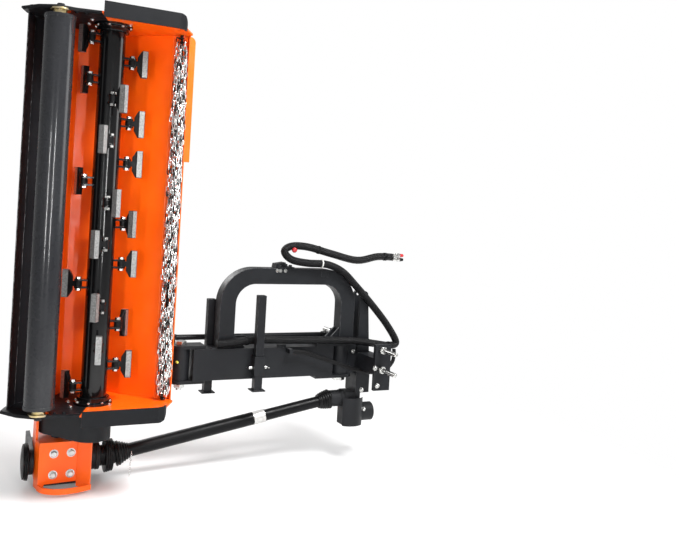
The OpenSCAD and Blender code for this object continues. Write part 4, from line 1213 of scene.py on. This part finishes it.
@dataclass
class SwingArm:
    """The box beam with its arch, legs, links and cylinders, and the carriage behind the head."""

    shop: Workshop
    ray_x: float = 300
    ray_z: float = 900
    arch_half: float = 40
    bead: float = 3.0
    feet: tuple[Point, ...] = ((-778, -698, 85), (-126, -46, 101))
    saddle_y: float = -450
    saddle: tuple[Spot, ...] = ((-500, -1), (-405, -1), (-405, 6), (-440, 9), (-448, 30), (-497, 22))
    saddle_x: Spot = (-24.0, 34.0)
    saddle_bolts: Point = (-492, -476, -449)
    saddle_drop: float = 12
    cap: tuple[Spot, ...] = ((0, -2), (6, -2), (6, 9), (4, 12), (4, 15), (0, 16))
    cap_place: Spot = (-974, 25)
    parts: Parts = (
        ("arm_beam", CHARCOAL, 2.0), ("arm_arch", CHARCOAL, 4.0), ("arch_gussets", CHARCOAL, 1.2),
        ("swing_pin", ZINC, 1.5), ("carriage_pin", ZINC, 1.5), ("leg_clamps", ZINC, 0.8),
        ("near_leg", CHARCOAL, 1.5), ("far_leg", CHARCOAL, 1.5), ("cylinder_pins", ZINC, 1.0),
        ("swing_barrel", ROTOR_BLACK, 1.2), ("swing_rod", CHROME, 1.2), ("tie_rod", CHARCOAL, 1.5),
        ("carriage_frame", CHARCOAL, 2.0), ("tilt_barrel", ROTOR_BLACK, 1.2), ("tilt_rod", CHROME, 1.2),
    )

    def build(self) -> None:
        """Makes the arm, the carriage and the cylinders."""
        for node, finish, edge in self.parts:
            self.shop.show(node, finish, edge)
        self.welds()
        self.fittings()

    def fittings(self) -> None:
        """The saddle under the fold of the hoses, its bolts and the yellow cap on the carriage pivot."""
        saddle, bolts, cap = bmesh.new(), bmesh.new(), bmesh.new()
        top = self.shop.seat("arm_arch", mm(0, self.saddle_y, self.ray_z), MINUS_Z).z / MM
        plate(saddle, [(y, top + rise) for y, rise in self.saddle], Plane.YZ, *self.saddle_x)
        for y in self.saddle_bolts:
            seat = self.shop.seat("arm_arch", mm(self.ray_x, y, top - self.saddle_drop), MINUS_X)
            hex_bolt(bolts, seat, PLUS_X, 7.0)
        rest = self.shop.seat("carriage_frame", mm(self.ray_x, *self.cap_place), MINUS_X)
        turned(cap, self.cap, rest, PLUS_X, 20)
        for name, bm, finish, body in (
            ("hose_saddle", saddle, CHARCOAL, "arm"), ("saddle_bolts", bolts, ZINC, "arm"),
            ("grease_cap", cap, YELLOW_CAP, "carriage"),
        ):
            outward(bm)
            self.shop.piece(name, bm, [finish], body)

    def welds(self) -> None:
        """Weld beads at the feet of the arch."""
        bm = bmesh.new()
        w = self.arch_half
        for y0, y1, z in self.feet:
            corners = [mm(x, y, z) for x, y in ((-w, y0), (w, y0), (w, y1), (-w, y1))]
            for first, second in zip(corners, corners[1:] + corners[:1]):
                bar(bm, first, second, self.bead, sides=8)
        self.shop.piece("arch_welds", bm, [WELD], "arm")


@dataclass
class Hitch:
    """The hitch frame with its mast and link pins."""

    shop: Workshop
    ray_x: float = 300
    bolts: tuple[tuple[str, tuple[Spot, ...]], ...] = (
        ("hitch_frame", ((-41, 50), (-32, 8), (-2, -9), (-15, -81), (10, -150))),
        ("drive_gearbox", ((38, -259), (20, -230))),
    )

    def build(self) -> None:
        """Makes the hitch, with a bolt wherever its line meets a node."""
        self.shop.show("hitch_frame", CHARCOAL, 2.0)
        self.shop.show("hitch_mast", CHARCOAL, 1.5)
        self.shop.show("link_pins", ZINC, 1.5)
        bm = bmesh.new()
        for node, spots in self.bolts:
            for y, z in spots:
                seat = self.shop.seat(node, mm(self.ray_x, y, z), MINUS_X)
                if seat is not None:
                    hex_bolt(bm, seat, PLUS_X, 9.0)
        self.shop.piece("hitch_bolts", bm, [ZINC], "headstock")


def main() -> None:
    """Builds the scene's pieces in order."""
    logging.basicConfig(level=logging.INFO, format="%(name)s: %(message)s")
    shop = Workshop(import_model())
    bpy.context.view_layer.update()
    studio = Studio()
    studio.camera()
    for assembly in (Hoses, ChainCurtain, CutterHead, Rotor, Drive, SwingArm, Hitch):
        assembly(shop).build()
    studio.light()
    studio.floor()


if __name__ == "__main__":
    main()
